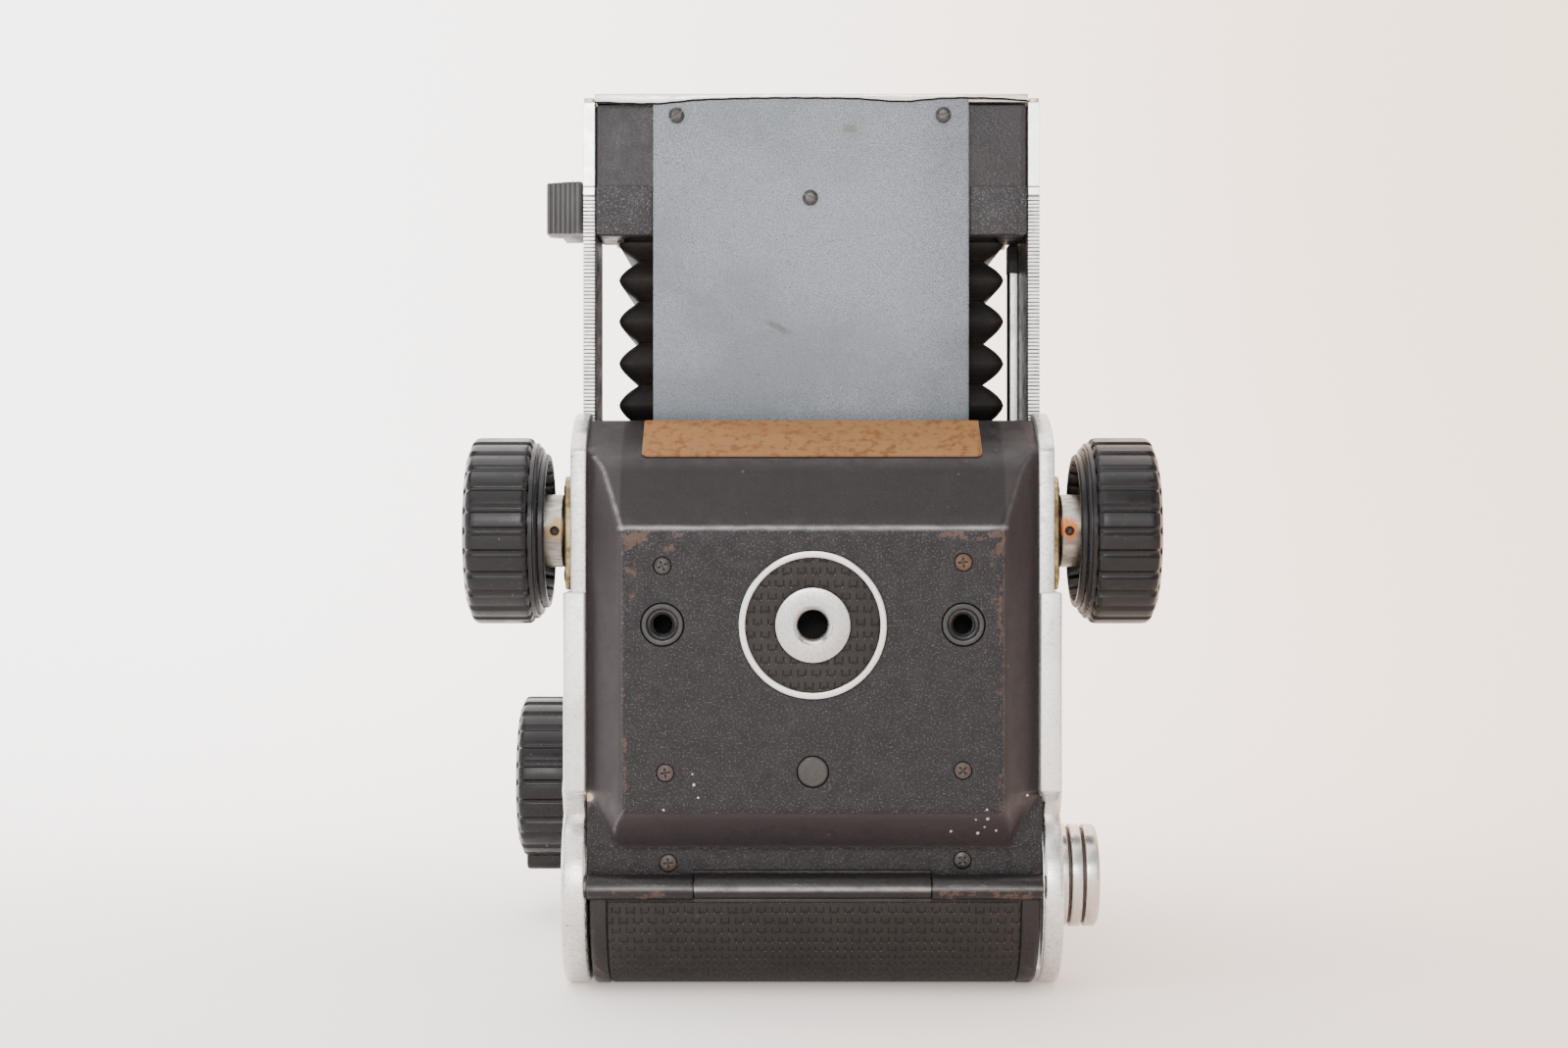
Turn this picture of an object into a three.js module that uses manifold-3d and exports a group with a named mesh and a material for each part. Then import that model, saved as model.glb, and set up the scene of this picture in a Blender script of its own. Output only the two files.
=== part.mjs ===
// Bellows-focusing twin-lens reflex camera body, lens unit not mounted.
// Units are millimetres. The camera lies on its back: +Z is the lens (front) direction,
// -Y is the tripod base, +Y is the viewing hood, +X and -X are the two knob sides.
import * as THREE from 'three';
import { mergeVertices } from 'three/addons/utils/BufferGeometryUtils.js';
import Module from 'manifold-3d';

const wasm = await Module();
wasm.setup();

// ---------------------------------------------------------------- driving dimensions
const Y_SHIFT = -82.75;            // moves the box centre of the part onto Y = 0
const EAR_Y0 = 22, EAR_Y1 = 110;   // spool chamber axes, Y
const EAR_Z = 17.3;                // spool chamber axes, Z
const EAR_R = 17.2;                // radius of the side plate ears
const DOOR_R = 17.3;               // outer radius of the wrapped back door
const SHELL_X = 38.4;              // half width of the body shell
const WALL = 2.0;                  // body wall
const PLATE_X0 = 38.9, PLATE_X1 = 41.6;   // side plate, inner and outer face
const COVER_X0 = 41.8, COVER_X1 = 43.2;   // outer side cover
const FRONT_Z = 101;               // front edge of the side plates
const CAVITY_Z = 99.5;             // front edge of the body shell
const TOP_Y = 146;                 // top face of the body shell
const PAD = { x: 32.4, z0: 32.1, z1: 80.6 };   // flat base pad at y = 0
const TRIPOD_Z = 64.2;             // tripod bush axis
const FOCUS = { y: 18, z: 80.2 };  // focusing shaft axis
const RACK_PITCH = 1.296;          // rack tooth pitch
const PINION_TEETH = 20;
const PINION_R = RACK_PITCH * PINION_TEETH / (2 * Math.PI);  // 4.125 pitch radius
const RAIL = { x0: 38.6, x1: 40.7, y0: 21.75, y1: 37, z0: 58, z1: 156.5 };
const STD = { x: 38.4, y0: 21.5, y1: 144, z0: 132.7, z1: 156.1 };
const HINGE = { y: 5, z: 19.2, r: 1.9, pin: 0.9, hole: 1.0 };
const ADV = { y: 110, z: 28.2, r: 16.8 };
const GEAR_R = (ADV.z - EAR_Z) / 2;   // pitch radius of the 1:1 winding gears
const KNOB_R = 16.35;
const HOOD = { y0: 146.3, y1: 161.5, x: 36, z0: 36.2, z1: 98 };
const BELLOWS = { z0: 84, z1: 132.4, tip: 34.6, depth: 3.4, wall: 0.9, folds: 6, y0: 24.2, y1: 138 };

// ---------------------------------------------------------------- solid helpers
function solid(geometry) {
  const g0 = geometry.clone();
  for (const n of Object.keys(g0.attributes)) if (n !== 'position') g0.deleteAttribute(n);
  const g = mergeVertices(g0, 1e-4);
  const p = g.attributes.position.array, idx = g.index.array;
  const tris = [];
  let vol = 0;
  for (let i = 0; i < idx.length; i += 3) {
    const [a, b, c] = [idx[i], idx[i + 1], idx[i + 2]];
    if (a === b || b === c || a === c) continue;
    tris.push(a, b, c);
    vol += p[3 * a] * (p[3 * b + 1] * p[3 * c + 2] - p[3 * b + 2] * p[3 * c + 1])
         - p[3 * a + 1] * (p[3 * b] * p[3 * c + 2] - p[3 * b + 2] * p[3 * c])
         + p[3 * a + 2] * (p[3 * b] * p[3 * c + 1] - p[3 * b + 1] * p[3 * c]);
  }
  if (vol < 0) for (let i = 0; i < tris.length; i += 3) { const t = tris[i + 1]; tris[i + 1] = tris[i + 2]; tris[i + 2] = t; }
  return new wasm.Manifold(new wasm.Mesh({
    numProp: 3, vertProperties: new Float32Array(p), triVerts: new Uint32Array(tris) }));
}
function geometryOf(manifold) {
  const m = manifold.getMesh();
  const g = new THREE.BufferGeometry();
  g.setAttribute('position', new THREE.BufferAttribute(new Float32Array(m.vertProperties), 3));
  g.setIndex(new THREE.BufferAttribute(new Uint32Array(m.triVerts), 1));
  g.computeVertexNormals();
  return g;
}
const AX = new THREE.Vector3(1, 0, 0), AY = new THREE.Vector3(0, 1, 0), AZ = new THREE.Vector3(0, 0, 1);
const basis = (a, b, c) => new THREE.Matrix4().makeBasis(a, b, c);
const TO_X = basis(AY, AZ, AX);   // shape (u,v) -> (y,z), depth -> x
const TO_Y = basis(AZ, AX, AY);   // shape (u,v) -> (z,x), depth -> y
function extrude(points, a, b, matrix, holes = []) {
  const s = new THREE.Shape(points.map(([u, v]) => new THREE.Vector2(u, v)));
  for (const h of holes) s.holes.push(new THREE.Path(h.map(([u, v]) => new THREE.Vector2(u, v))));
  const g = new THREE.ExtrudeGeometry(s, { depth: Math.abs(b - a), bevelEnabled: false, curveSegments: 12 });
  g.translate(0, 0, Math.min(a, b));
  if (matrix) g.applyMatrix4(matrix);
  return solid(g);
}
const prismX = (yz, x0, x1, holes) => extrude(yz, x0, x1, TO_X, holes);
const prismY = (zx, y0, y1, holes) => extrude(zx, y0, y1, TO_Y, holes);
const prismZ = (xy, z0, z1, holes) => extrude(xy, z0, z1, null, holes);
function box(x0, x1, y0, y1, z0, z1) {
  const g = new THREE.BoxGeometry(Math.abs(x1 - x0), Math.abs(y1 - y0), Math.abs(z1 - z0));
  g.translate((x0 + x1) / 2, (y0 + y1) / 2, (z0 + z1) / 2);
  return solid(g);
}
// profile: [radius, position along the axis]
function lathe(profile, seg, matrix, tx, ty, tz) {
  const g = new THREE.LatheGeometry(profile.map(([r, a]) => new THREE.Vector2(r, a)), seg);
  if (matrix) g.applyMatrix4(matrix);
  g.translate(tx, ty, tz);
  return solid(g);
}
const latheX = (profile, y, z, seg = 32) => lathe(profile, seg, basis(AZ, AX, AY), 0, y, z);
const latheY = (profile, x, z, seg = 32) => lathe(profile, seg, null, x, 0, z);
const cylX = (r, x0, x1, y, z, seg = 16) => latheX([[0, Math.min(x0, x1)], [r, Math.min(x0, x1)], [r, Math.max(x0, x1)], [0, Math.max(x0, x1)]], y, z, seg);
const cylY = (r, y0, y1, x, z, seg = 16) => latheY([[0, y0], [r, y0], [r, y1], [0, y1]], x, z, seg);
function arc(cy, cz, r, a0, a1, n) {
  const pts = [];
  for (let i = 0; i <= n; i++) {
    const a = THREE.MathUtils.degToRad(a0 + (a1 - a0) * i / n);
    pts.push([cy + r * Math.cos(a), cz + r * Math.sin(a)]);
  }
  return pts;
}
const both = (f) => [f(-1), f(1)];

// ---------------------------------------------------------------- materials
const mat = (hex, roughness, metalness) => new THREE.MeshStandardMaterial({ color: hex, roughness, metalness });
const M = {
  paint: mat(0x3a3436, 0.55, 0.3), alu: mat(0xd6d6d2, 0.38, 0.9), chrome: mat(0xe2e2e0, 0.15, 1),
  plastic: mat(0x1a191a, 0.35, 0), leather: mat(0x241d1b, 0.8, 0), bellows: mat(0x171516, 0.85, 0),
  guard: mat(0x6f7a7d, 0.45, 0.6), plate: mat(0xa5875f, 0.4, 0.8), steel: mat(0x8f8f8c, 0.35, 1),
  screw: mat(0x4a4038, 0.5, 0.8), brass: mat(0xb08a4a, 0.3, 1), mirror: mat(0xdfe6ea, 0.05, 1),
  glass: mat(0xcfd6d2, 0.4, 0), inner: mat(0x151414, 0.8, 0.1),
};
const root = new THREE.Group();
const part = new THREE.Group();
part.position.set(0, Y_SHIFT, 0);
root.add(part);
function node(name, shape, material) {
  const mesh = new THREE.Mesh(geometryOf(shape), material);
  mesh.name = name;
  part.add(mesh);
  return mesh;
}

// ---------------------------------------------------------------- body shell
const frontChamfer = [[9.3, 90], [17.5, 95], [17.5, CAVITY_Z]];
{
  const outline = [
    [9.3, 24], ...frontChamfer, [TOP_Y, CAVITY_Z], [TOP_Y, 31.5], [125, 31.5],
    ...arc(EAR_Y1, EAR_Z, 15, 0, -90, 6), ...arc(EAR_Y0, EAR_Z, 15, 270, 212, 4),
  ];
  let s = prismX(outline, -SHELL_X, SHELL_X);
  const xi = SHELL_X - WALL;
  s = s.subtract(box(-xi, xi, 11.5, 143, 33.5, 110))
       .subtract(box(-xi, xi, -5, 36.5, -5, 31.5))
       .subtract(box(-xi, xi, 36, 97, -5, 28))
       .subtract(box(-xi, xi, 96.5, 127, -5, 31.5))
       .subtract(box(-28, 28, 38, 94, 20, 40))                      // film gate
       .subtract(box(-29, 29, 140, 150, 39, 97))                    // screen well
       .add(box(-xi - 0.5, xi + 0.5, 95, 96.2, 33, 80))             // light divider
       .add(box(-xi - 0.5, xi + 0.5, 22.8, 142.9, 81.5, 83.7)
         .subtract(box(-31, 31, 27, 136, 80, 85))                   // bellows frame
         .subtract(box(36, 39, 38.4, 43.6, 80, 85)));
  s = s.subtract(cylX(2.2, -50, 50, FOCUS.y, FOCUS.z))
       .subtract(cylX(3.2, 30, 50, EAR_Y0, EAR_Z)).subtract(cylX(3.2, 30, 50, EAR_Y1, EAR_Z))
       .subtract(cylX(2.2, -50, -30, ADV.y, ADV.z))
       .subtract(box(-36.4, -34.1, 103.5, 116.5, 27, 35.2))          // gear pocket
       .subtract(box(36.2, 38.5, 38.5, 43.5, 42, 110))              // scale bar slot
       .subtract(cylX(1.0, -37.5, 37.5, 36, 26.4, 12)).subtract(cylX(1.0, -37.5, 37.5, 96.6, 26.4, 12));
  node('body_shell', s, M.inner);
}

// ---------------------------------------------------------------- base cover
const SCREWS = [[-25.6, 0, 74.3], [25.6, 0, 74.9], [-25.1, 0, 39.1], [25.5, 0, 39.5], [-24.9, 7, 22.9], [25.9, 7, 23.4]];
const BUSH_X = 25.6;
{
  const trap = (xa, xb, ya, yb, yc) => [[-xa, ya], [xa, ya], [xb, yb], [xb, yc], [-xb, yc], [-xb, yb]];
  let s = prismX([[9.0, 20.5], [7, 20.5], [7, 26], [0.5, 31.5], [0, 32.3], [0, 80.3], [0.3, 81.4], [3.9, 92.2], [5.0, 93.7], [15.5, 99.5], [16.3, 98.1], [9.0, 93.2]], -38.6, 38.6)
    .intersect(prismZ(trap(PAD.x, 38.6, 0, 6, 20), 0, 120));
  const hollow = prismX([[9.5, 28], [7.4, 28], [2, 33.2], [2, 80], [5.6, 91.2], [9.5, 93]], -37, 37)
    .intersect(prismZ(trap(31.2, 36.8, 2, 7.4, 12), 0, 120));
  s = s.subtract(hollow);
  const knuckle = (k) => cylX(HINGE.r, k * 20.6, k * 38.4, HINGE.y, HINGE.z, 20)
    .add(box(k * 20.6, k * 38.4, 5.0, 8.8, 19.2, 21.5));
  s = s.add(knuckle(-1)).add(knuckle(1)).subtract(cylX(HINGE.hole, -40, 40, HINGE.y, HINGE.z, 20));
  s = s.subtract(cylY(12.8, -2, 0.6, 0, TRIPOD_Z, 32)).subtract(cylY(5.2, -2, 5, 0, TRIPOD_Z, 20));
  for (const k of [-1, 1]) s = s.subtract(cylY(3.85, -2, 5, k * BUSH_X, 64.3, 16));
  s = s.subtract(cylY(2.85, -2, 5, 0, 39.3, 16));
  for (const [x, y, z] of SCREWS) s = s.subtract(cylY(1.8, y - 1, y + 1.2, x, z, 12)).subtract(cylY(1.05, y - 1, y + 4, x, z, 8));
  node('base_cover', s, M.paint);
}
{
  const d = [0.8752, 0.4838], n = [-0.4838, 0.8752];
  const p = (t, h) => [5.2 + d[0] * t + n[0] * h, 93.81 + d[1] * t + n[1] * h];
  node('nameplate', prismX([p(0, 0.12), p(11.6, 0.12), p(11.6, 0.5), p(0, 0.5)], -29.15, 29.15), M.plate);
}
node('tripod_bush', latheY([[2.6, -0.4], [3.1, -0.5], [6.3, -0.5], [6.4, -0.4], [6.4, 0.4], [4.9, 0.4], [4.9, 7.5], [2.6, 7.5], [2.6, -0.4]], 0, TRIPOD_Z, 28), M.alu);
node('tripod_ring', latheY([[11.5, -0.3], [11.65, -0.4], [12.4, -0.4], [12.55, -0.3], [12.55, 0.4], [11.5, 0.4], [11.5, -0.3]], 0, TRIPOD_Z, 36), M.alu);
node('tripod_leather', latheY([[6.65, -0.05], [11.25, -0.05], [11.25, 0.4], [6.65, 0.4], [6.65, -0.05]], 0, TRIPOD_Z, 28), M.leather);
both((k) => node(`accessory_bush_${k < 0 ? 'left' : 'right'}`,
  latheY([[1.7, -0.15], [3.5, -0.15], [3.65, 0], [3.65, 5.5], [1.7, 5.5], [1.7, -0.15]], k * BUSH_X, 64.3, 16), M.screw));
node('base_plug', latheY([[0, -0.15], [2.4, -0.15], [2.65, 0.05], [2.65, 3], [0, 3]], 0, 39.3, 16), M.paint);
SCREWS.forEach(([x, y, z], i) => {
  const tip = y + (i < 4 ? 8.5 : 1.9);
  node(`base_screw_${i + 1}`, latheY([[0, y - 0.12], [1.2, y - 0.12], [1.6, y + 0.15], [1.6, y + 1.0], [0.85, y + 1.0], [0.85, tip], [0, tip]], x, z, 12), M.screw);
});

// ---------------------------------------------------------------- sides
function sideOutline(front, inset = 0) {
  const i = inset;
  return [...front, [140 - i, FRONT_Z - i], [140 - i, 33.5 + i], [EAR_Y1 + EAR_R - i, 33.5 + i],
    ...arc(EAR_Y1, EAR_Z, EAR_R - i, 0, -90, 8), ...arc(EAR_Y0, EAR_Z, EAR_R - i, 270, 112, 12)];
}
both((k) => {
  const side = k < 0 ? 'left' : 'right';
  const front = [[4.6, 33.5], [4.6, 94.3], [8, 97.3], [13, 99.6], [19, FRONT_Z]];
  let s = prismX(sideOutline(front), k * PLATE_X0, k * PLATE_X1)
    .subtract(box(k * 30, k * 41.0, 21.3, 37.6, 24, 110))
    .subtract(cylX(4.9, k * 30, k * 41.0, FOCUS.y, FOCUS.z))
    .subtract(cylX(2.2, k * 30, k * 50, FOCUS.y, FOCUS.z));
  let c = prismX(sideOutline([[4.8, 33.5], [4.8, 69.4], [42, 69.4], [42, FRONT_Z]], 0.1), k * COVER_X0, k * COVER_X1);
  let l = prismX([[48, 34], [134, 34], [134, 96], [48, 96]], k * 43.35, k * 43.7);
  if (k > 0) for (const y of [EAR_Y0, EAR_Y1]) { s = s.subtract(cylX(3.2, 30, 50, y, EAR_Z)); c = c.subtract(cylX(3.2, 30, 50, y, EAR_Z)); }
  else for (const h of [s, c]) { const t = h.subtract(cylX(2.2, -50, -30, ADV.y, ADV.z)); if (h === s) s = t; else c = t; }
  node(`side_plate_${side}`, s, M.alu);
  node(`side_cover_${side}`, c, M.alu);
  node(`side_leather_${side}`, l, M.leather);
  node(`shaft_flange_${side}`, prismX([[12, 72], [14.5, 69.8], [21.5, 69.8], [24, 72], [24, 87.6], [21.5, 89.8], [14.5, 89.8], [12, 87.6]], k * 41.8, k * 43.2)
    .subtract(cylX(2.2, k * 30, k * 50, FOCUS.y, FOCUS.z)), M.steel);
});
node('hinge_pin', cylX(HINGE.pin, -38.3, 38.3, HINGE.y, HINGE.z, 20), M.steel);

// ---------------------------------------------------------------- inside the body
node('viewing_mirror', prismX([[98, 87], [141, 44], [139.6, 42.6], [96.6, 85.6]], -27.5, 27.5), M.mirror);
node('focusing_screen', box(-28.7, 28.7, 143.4, 145.4, 39.3, 96.7), M.glass);
for (const [name, y] of [['film_roller_lower', 36], ['film_roller_upper', 96.6]])
  node(name, latheX([[0, -37.2], [0.85, -37.2], [0.85, -31], [1.25, -31], [1.25, 31], [0.85, 31], [0.85, 37.2], [0, 37.2]], y, 26.4, 16), M.steel);

// ---------------------------------------------------------------- hood
{
  let s = box(-HOOD.x, HOOD.x, HOOD.y0, HOOD.y1, HOOD.z0, HOOD.z1)
    .subtract(box(-34, 34, HOOD.y0 + 2, HOOD.y1 + 5, HOOD.z0 + 2, HOOD.z1 - 2))
    .subtract(box(-29, 29, 140, 155, 39, 96.5));
  node('hood_base', s, M.paint);
  node('hood_lid', prismX([[163.2, 36.4], [165.4, 36.4], [166, 37.2], [166, 97.1], [165.4, 97.9], [163.2, 97.9]], -36, 36), M.paint);
  const h = 22;
  node('hood_back_flap', prismY([[38.2, -32.8], [38.2 + h, -32.8 + h], [38.2 + h, 32.8 - h], [38.2, 32.8]], 161.8, 162.5), M.paint);
  both((k) => node(`hood_side_flap_${k < 0 ? 'left' : 'right'}`,
    prismY([[39.4, k * 34.5], [95.6, k * 34.5], [95.6 - h, k * (34.5 - h)], [39.4 + h, k * (34.5 - h)]], 161.8, 162.5), M.paint));
}

// ---------------------------------------------------------------- bellows
{
  const levels = [];
  const n = BELLOWS.folds * 2;
  for (let i = 0; i <= n; i++) levels.push([BELLOWS.z0 + (BELLOWS.z1 - BELLOWS.z0) * i / n, i % 2 ? 0 : BELLOWS.depth]);
  const corners = (inset, z) => {
    const x = BELLOWS.tip - inset, ya = BELLOWS.y0 + inset, yb = BELLOWS.y1 - inset, c = 3;
    return [[-x + c, ya, z], [x - c, ya, z], [x, ya + c, z], [x, yb - c, z], [x - c, yb, z], [-x + c, yb, z], [-x, yb - c, z], [-x, ya + c, z]];
  };
  const rings = [...levels.map(([z, d]) => corners(d, z)), ...levels.slice().reverse().map(([z, d]) => corners(d + BELLOWS.wall, z))];
  const pos = [];
  for (let r = 0; r < rings.length; r++) {
    const a = rings[r], b = rings[(r + 1) % rings.length];
    for (let i = 0; i < 8; i++) {
      const j = (i + 1) % 8;
      pos.push(...a[i], ...a[j], ...b[j], ...a[i], ...b[j], ...b[i]);
    }
  }
  const g = new THREE.BufferGeometry();
  g.setAttribute('position', new THREE.BufferAttribute(new Float32Array(pos), 3));
  node('bellows', solid(g), M.bellows);
}

// ---------------------------------------------------------------- moving front
const GUARD_SCREWS = [[-24.0, 153.6], [23.3, 153.7], [-0.3, 139.1]];
const BAIL = { y: 60, z: 154.2 };
{
  let s = box(-STD.x, STD.x, STD.y0, STD.y1, STD.z0, STD.z1)
    .subtract(box(-29, 29, 33, 92.5, 130, 160))
    .subtract(box(-24, 24, 97, 138, 130, 160))
    .subtract(cylX(0.95, -31, 31, BAIL.y, BAIL.z, 12));
  for (const [x, z] of GUARD_SCREWS) s = s.subtract(cylY(0.85, 20, 26, x, z, 12));
  node('lens_standard', s, M.paint);
  node('front_plate', box(-38.5, 38.5, 20.2, 144.4, 156.4, 157.8).subtract(box(-31, 31, 31, 140, 150, 160)), M.alu);
  let g = box(-28.1, 28.1, 20.5, 21.3, 66, 156.2);
  for (const [x, z] of GUARD_SCREWS) g = g.subtract(cylY(0.85, 20, 26, x, z, 12));
  node('bellows_guard', g, M.guard);
  GUARD_SCREWS.forEach(([x, z], i) => node(`guard_screw_${i + 1}`,
    latheY([[0, 19.8], [0.9, 19.8], [1.35, 20.0], [1.35, 20.35], [0.7, 20.35], [0.7, 25], [0, 25]], x, z, 12), M.screw));
  node('scale_bar', box(36.6, 38.3, 39, 43, 76, 132.5), M.alu);
  const wire = 0.8;
  let b = cylX(wire, -27.4, 27.4, 90, BAIL.z, 12);
  for (const k of [-1, 1]) b = b.add(box(k * 26.2, k * 27.8, BAIL.y - 0.9, 90.7, BAIL.z - 0.75, BAIL.z + 0.75)).add(cylX(wire, k * 27, k * 30.6, BAIL.y, BAIL.z, 12));
  node('lens_bail', b, M.steel);
  node('release_lever', prismZ([[-47.2, 27], [-41.9, 27], [-41.2, 27.7], [-41.2, 41.5], [-38.8, 41.5], [-38.8, 43.3], [-45.5, 43.3], [-45.5, 35.4], [-47.7, 34.2], [-47.7, 27.5]], 133.6, 143.1), M.plastic);
}
// toothed rails
both((k) => {
  const pts = [];
  const tip = RAIL.y0, rootY = RAIL.y0 + 0.9, halfTip = 0.14, halfRoot = 0.42;
  for (let i = 0; ; i++) {
    const z = FOCUS.z + (i + 0.5 - 17) * RACK_PITCH;
    if (z + halfRoot > 139.6) break;
    pts.push([rootY, z - halfRoot], [tip, z - halfTip], [tip, z + halfTip], [rootY, z + halfRoot]);
  }
  const z0 = pts[0][1];
  node(`rail_${k < 0 ? 'left' : 'right'}`, prismX([[rootY, z0 - 0.4], ...pts, [rootY, 139.9], [tip, 140.1], [tip, RAIL.z1], [RAIL.y1, RAIL.z1], [RAIL.y1, z0 - 0.4]], k * RAIL.x0, k * RAIL.x1), M.alu);
});

// ---------------------------------------------------------------- focusing drive
function toothed(n, rTip, rRoot, wTip, wRoot, phase = 0) {
  const pts = [];
  for (let i = 0; i < n; i++) {
    const a = phase + 2 * Math.PI * i / n;
    for (const [r, w] of [[rRoot, -wRoot], [rTip, -wTip], [rTip, wTip], [rRoot, wRoot]]) {
      const b = a + w / r;
      pts.push([r * Math.cos(b), r * Math.sin(b)]);
    }
  }
  return pts;
}
const at = (pts, y, z) => pts.map(([u, v]) => [u + y, v + z]);
node('focus_shaft', cylX(2.0, -55, 55, FOCUS.y, FOCUS.z, 24), M.steel);
const ribbed = (r, depth, n) => {
  const pts = [];
  for (let i = 0; i < n; i++) for (const [f, q] of [[0.08, depth], [0.3, 0], [0.7, 0], [0.92, depth]]) {
    const a = 2 * Math.PI * (i + f) / n;
    pts.push([(r - q) * Math.cos(a), (r - q) * Math.sin(a)]);
  }
  return pts;
};
both((k) => {
  const side = k < 0 ? 'left' : 'right';
  node(`pinion_${side}`, prismX(at(toothed(PINION_TEETH, PINION_R + 0.33, PINION_R - 0.55, 0.12, 0.36), FOCUS.y, FOCUS.z), k * 38.75, k * 40.8)
    .subtract(cylX(2.15, -50, 50, FOCUS.y, FOCUS.z)), M.steel);
  node(`focus_knob_${side}`, prismX(at(ribbed(KNOB_R, 0.75, 24), FOCUS.y, FOCUS.z), k * 48.9, k * 59.4)
    .add(cylX(15.4, k * 47.6, k * 60.2, FOCUS.y, FOCUS.z, 32))
    .add(cylX(14, k * 46, k * 48, FOCUS.y, FOCUS.z, 28))
    .add(cylX(6.4, k * 43.5, k * 46.5, FOCUS.y, FOCUS.z, 20))
    .subtract(cylX(2.15, k * 40, k * 56, FOCUS.y, FOCUS.z)), M.plastic);
});

// ---------------------------------------------------------------- winding drive
node('advance_knob', prismX(at(ribbed(ADV.r, 0.75, 24), ADV.y, ADV.z), -48.9, -59.4)
  .add(cylX(15.9, -47.6, -60.2, ADV.y, ADV.z, 32)).add(cylX(14, -45.6, -48, ADV.y, ADV.z, 28)).add(cylX(2.0, -34.3, -46, ADV.y, ADV.z))
  .add(box(-52.5, -59.6, ADV.y - 3.2, ADV.y + 3.2, 8.6, 14)), M.plastic);
node('advance_gear', prismX(at(toothed(20, GEAR_R + 0.42, GEAR_R - 0.75, 0.18, 0.5, Math.PI / 2), ADV.y, ADV.z), -36.1, -34.5)
  .subtract(cylX(2.15, -50, -20, ADV.y, ADV.z)), M.brass);
node('take_up_drive', prismX(at(toothed(20, GEAR_R + 0.42, GEAR_R - 0.75, 0.18, 0.5, Math.PI / 2 + Math.PI / 20), EAR_Y1, EAR_Z), -36.1, -34.5)
  .add(cylX(3.0, -34.6, -29.5, EAR_Y1, EAR_Z)), M.brass);
node('take_up_spool', latheX([[3.4, -32.8], [12.4, -32.8], [12.4, -31.7], [5.5, -31.7], [5.5, 31.7], [12.4, 31.7], [12.4, 32.8], [3.4, 32.8], [3.4, -32.8]], EAR_Y1, EAR_Z, 24), M.plastic);
for (const [name, y] of [['supply_pull_knob', EAR_Y0], ['take_up_pull_knob', EAR_Y1]])
  node(name, latheX([[0, 29.3], [2.8, 29.3], [2.8, 43.6], [10.3, 43.6], [10.65, 43.9], [10.65, 50.1], [10.1, 50.6], [0, 50.6]], y, EAR_Z, 28), M.chrome);

// ---------------------------------------------------------------- back door
const wrap = (rin, rout, a0, zEnd, n = 8) => [
  ...arc(EAR_Y0, EAR_Z, rout, a0, 270, n), ...arc(EAR_Y1, EAR_Z, rout, 270, 360, n), [EAR_Y1 + rout, zEnd],
  [EAR_Y1 + rin, zEnd], ...arc(EAR_Y1, EAR_Z, rin, 360, 270, n), ...arc(EAR_Y0, EAR_Z, rin, 270, a0, n)];
{
  let s = prismX(wrap(15.4, DOOR_R, 181.2, 28), -37.6, 37.6)
    .subtract(prismX(wrap(16.85, DOOR_R + 0.6, 183.2, 20), -35.6, 35.6))
    .add(box(-20.3, 20.3, 4.75, 6.55, 16.4, 19.2))
    .add(cylX(HINGE.r, -20.3, 20.3, HINGE.y, HINGE.z, 20))
    .subtract(cylX(HINGE.hole, -40, 40, HINGE.y, HINGE.z, 20));
  node('back_door', s, M.paint);
  node('door_leather', prismX(wrap(16.98, DOOR_R - 0.06, 183.8, 19.7), -35.3, 35.3), M.leather);
  node('pressure_plate', box(-31, 31, 39.5, 92.5, 24.2, 26.8).add(solid(new THREE.CylinderGeometry(2, 2, 21.5, 16).rotateX(Math.PI / 2).translate(0, 52, 14.25)))
    .add(solid(new THREE.CylinderGeometry(2, 2, 21.5, 16).rotateX(Math.PI / 2).translate(0, 80, 14.25))), M.steel);
  node('door_latch', prismX([[127.6, 21], [129.4, 21.4], [130.2, 23], [130.2, 27], [129.2, 29.6], [126.2, 29.6], [126.2, 28.3], [127.6, 28.3]], -8, 8), M.steel);
}

export default root;
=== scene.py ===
# Bellows-focusing twin-lens reflex camera body, lying on its back: the looks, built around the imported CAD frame.
import math
import bpy
import bmesh
import numpy as np
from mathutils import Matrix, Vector


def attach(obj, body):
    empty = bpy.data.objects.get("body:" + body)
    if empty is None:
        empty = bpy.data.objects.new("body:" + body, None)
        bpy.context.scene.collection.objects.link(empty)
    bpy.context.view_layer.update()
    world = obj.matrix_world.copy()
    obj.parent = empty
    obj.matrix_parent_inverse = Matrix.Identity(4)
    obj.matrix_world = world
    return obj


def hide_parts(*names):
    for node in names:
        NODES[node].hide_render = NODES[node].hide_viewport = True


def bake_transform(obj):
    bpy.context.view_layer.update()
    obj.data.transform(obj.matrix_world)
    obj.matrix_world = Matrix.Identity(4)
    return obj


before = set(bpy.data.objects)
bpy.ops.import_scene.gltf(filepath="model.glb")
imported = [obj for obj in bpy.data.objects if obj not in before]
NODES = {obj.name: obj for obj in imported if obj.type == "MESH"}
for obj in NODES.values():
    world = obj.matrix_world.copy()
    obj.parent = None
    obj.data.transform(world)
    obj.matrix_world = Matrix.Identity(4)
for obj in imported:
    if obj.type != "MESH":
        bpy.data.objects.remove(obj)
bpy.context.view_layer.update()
Y_SHIFT = -82.75          # the model's own millimetre frame has y = 0 on the base pad


def L(x, y, z):
    return (x / 1000.0, (y + Y_SHIFT) / 1000.0, z / 1000.0)


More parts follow.
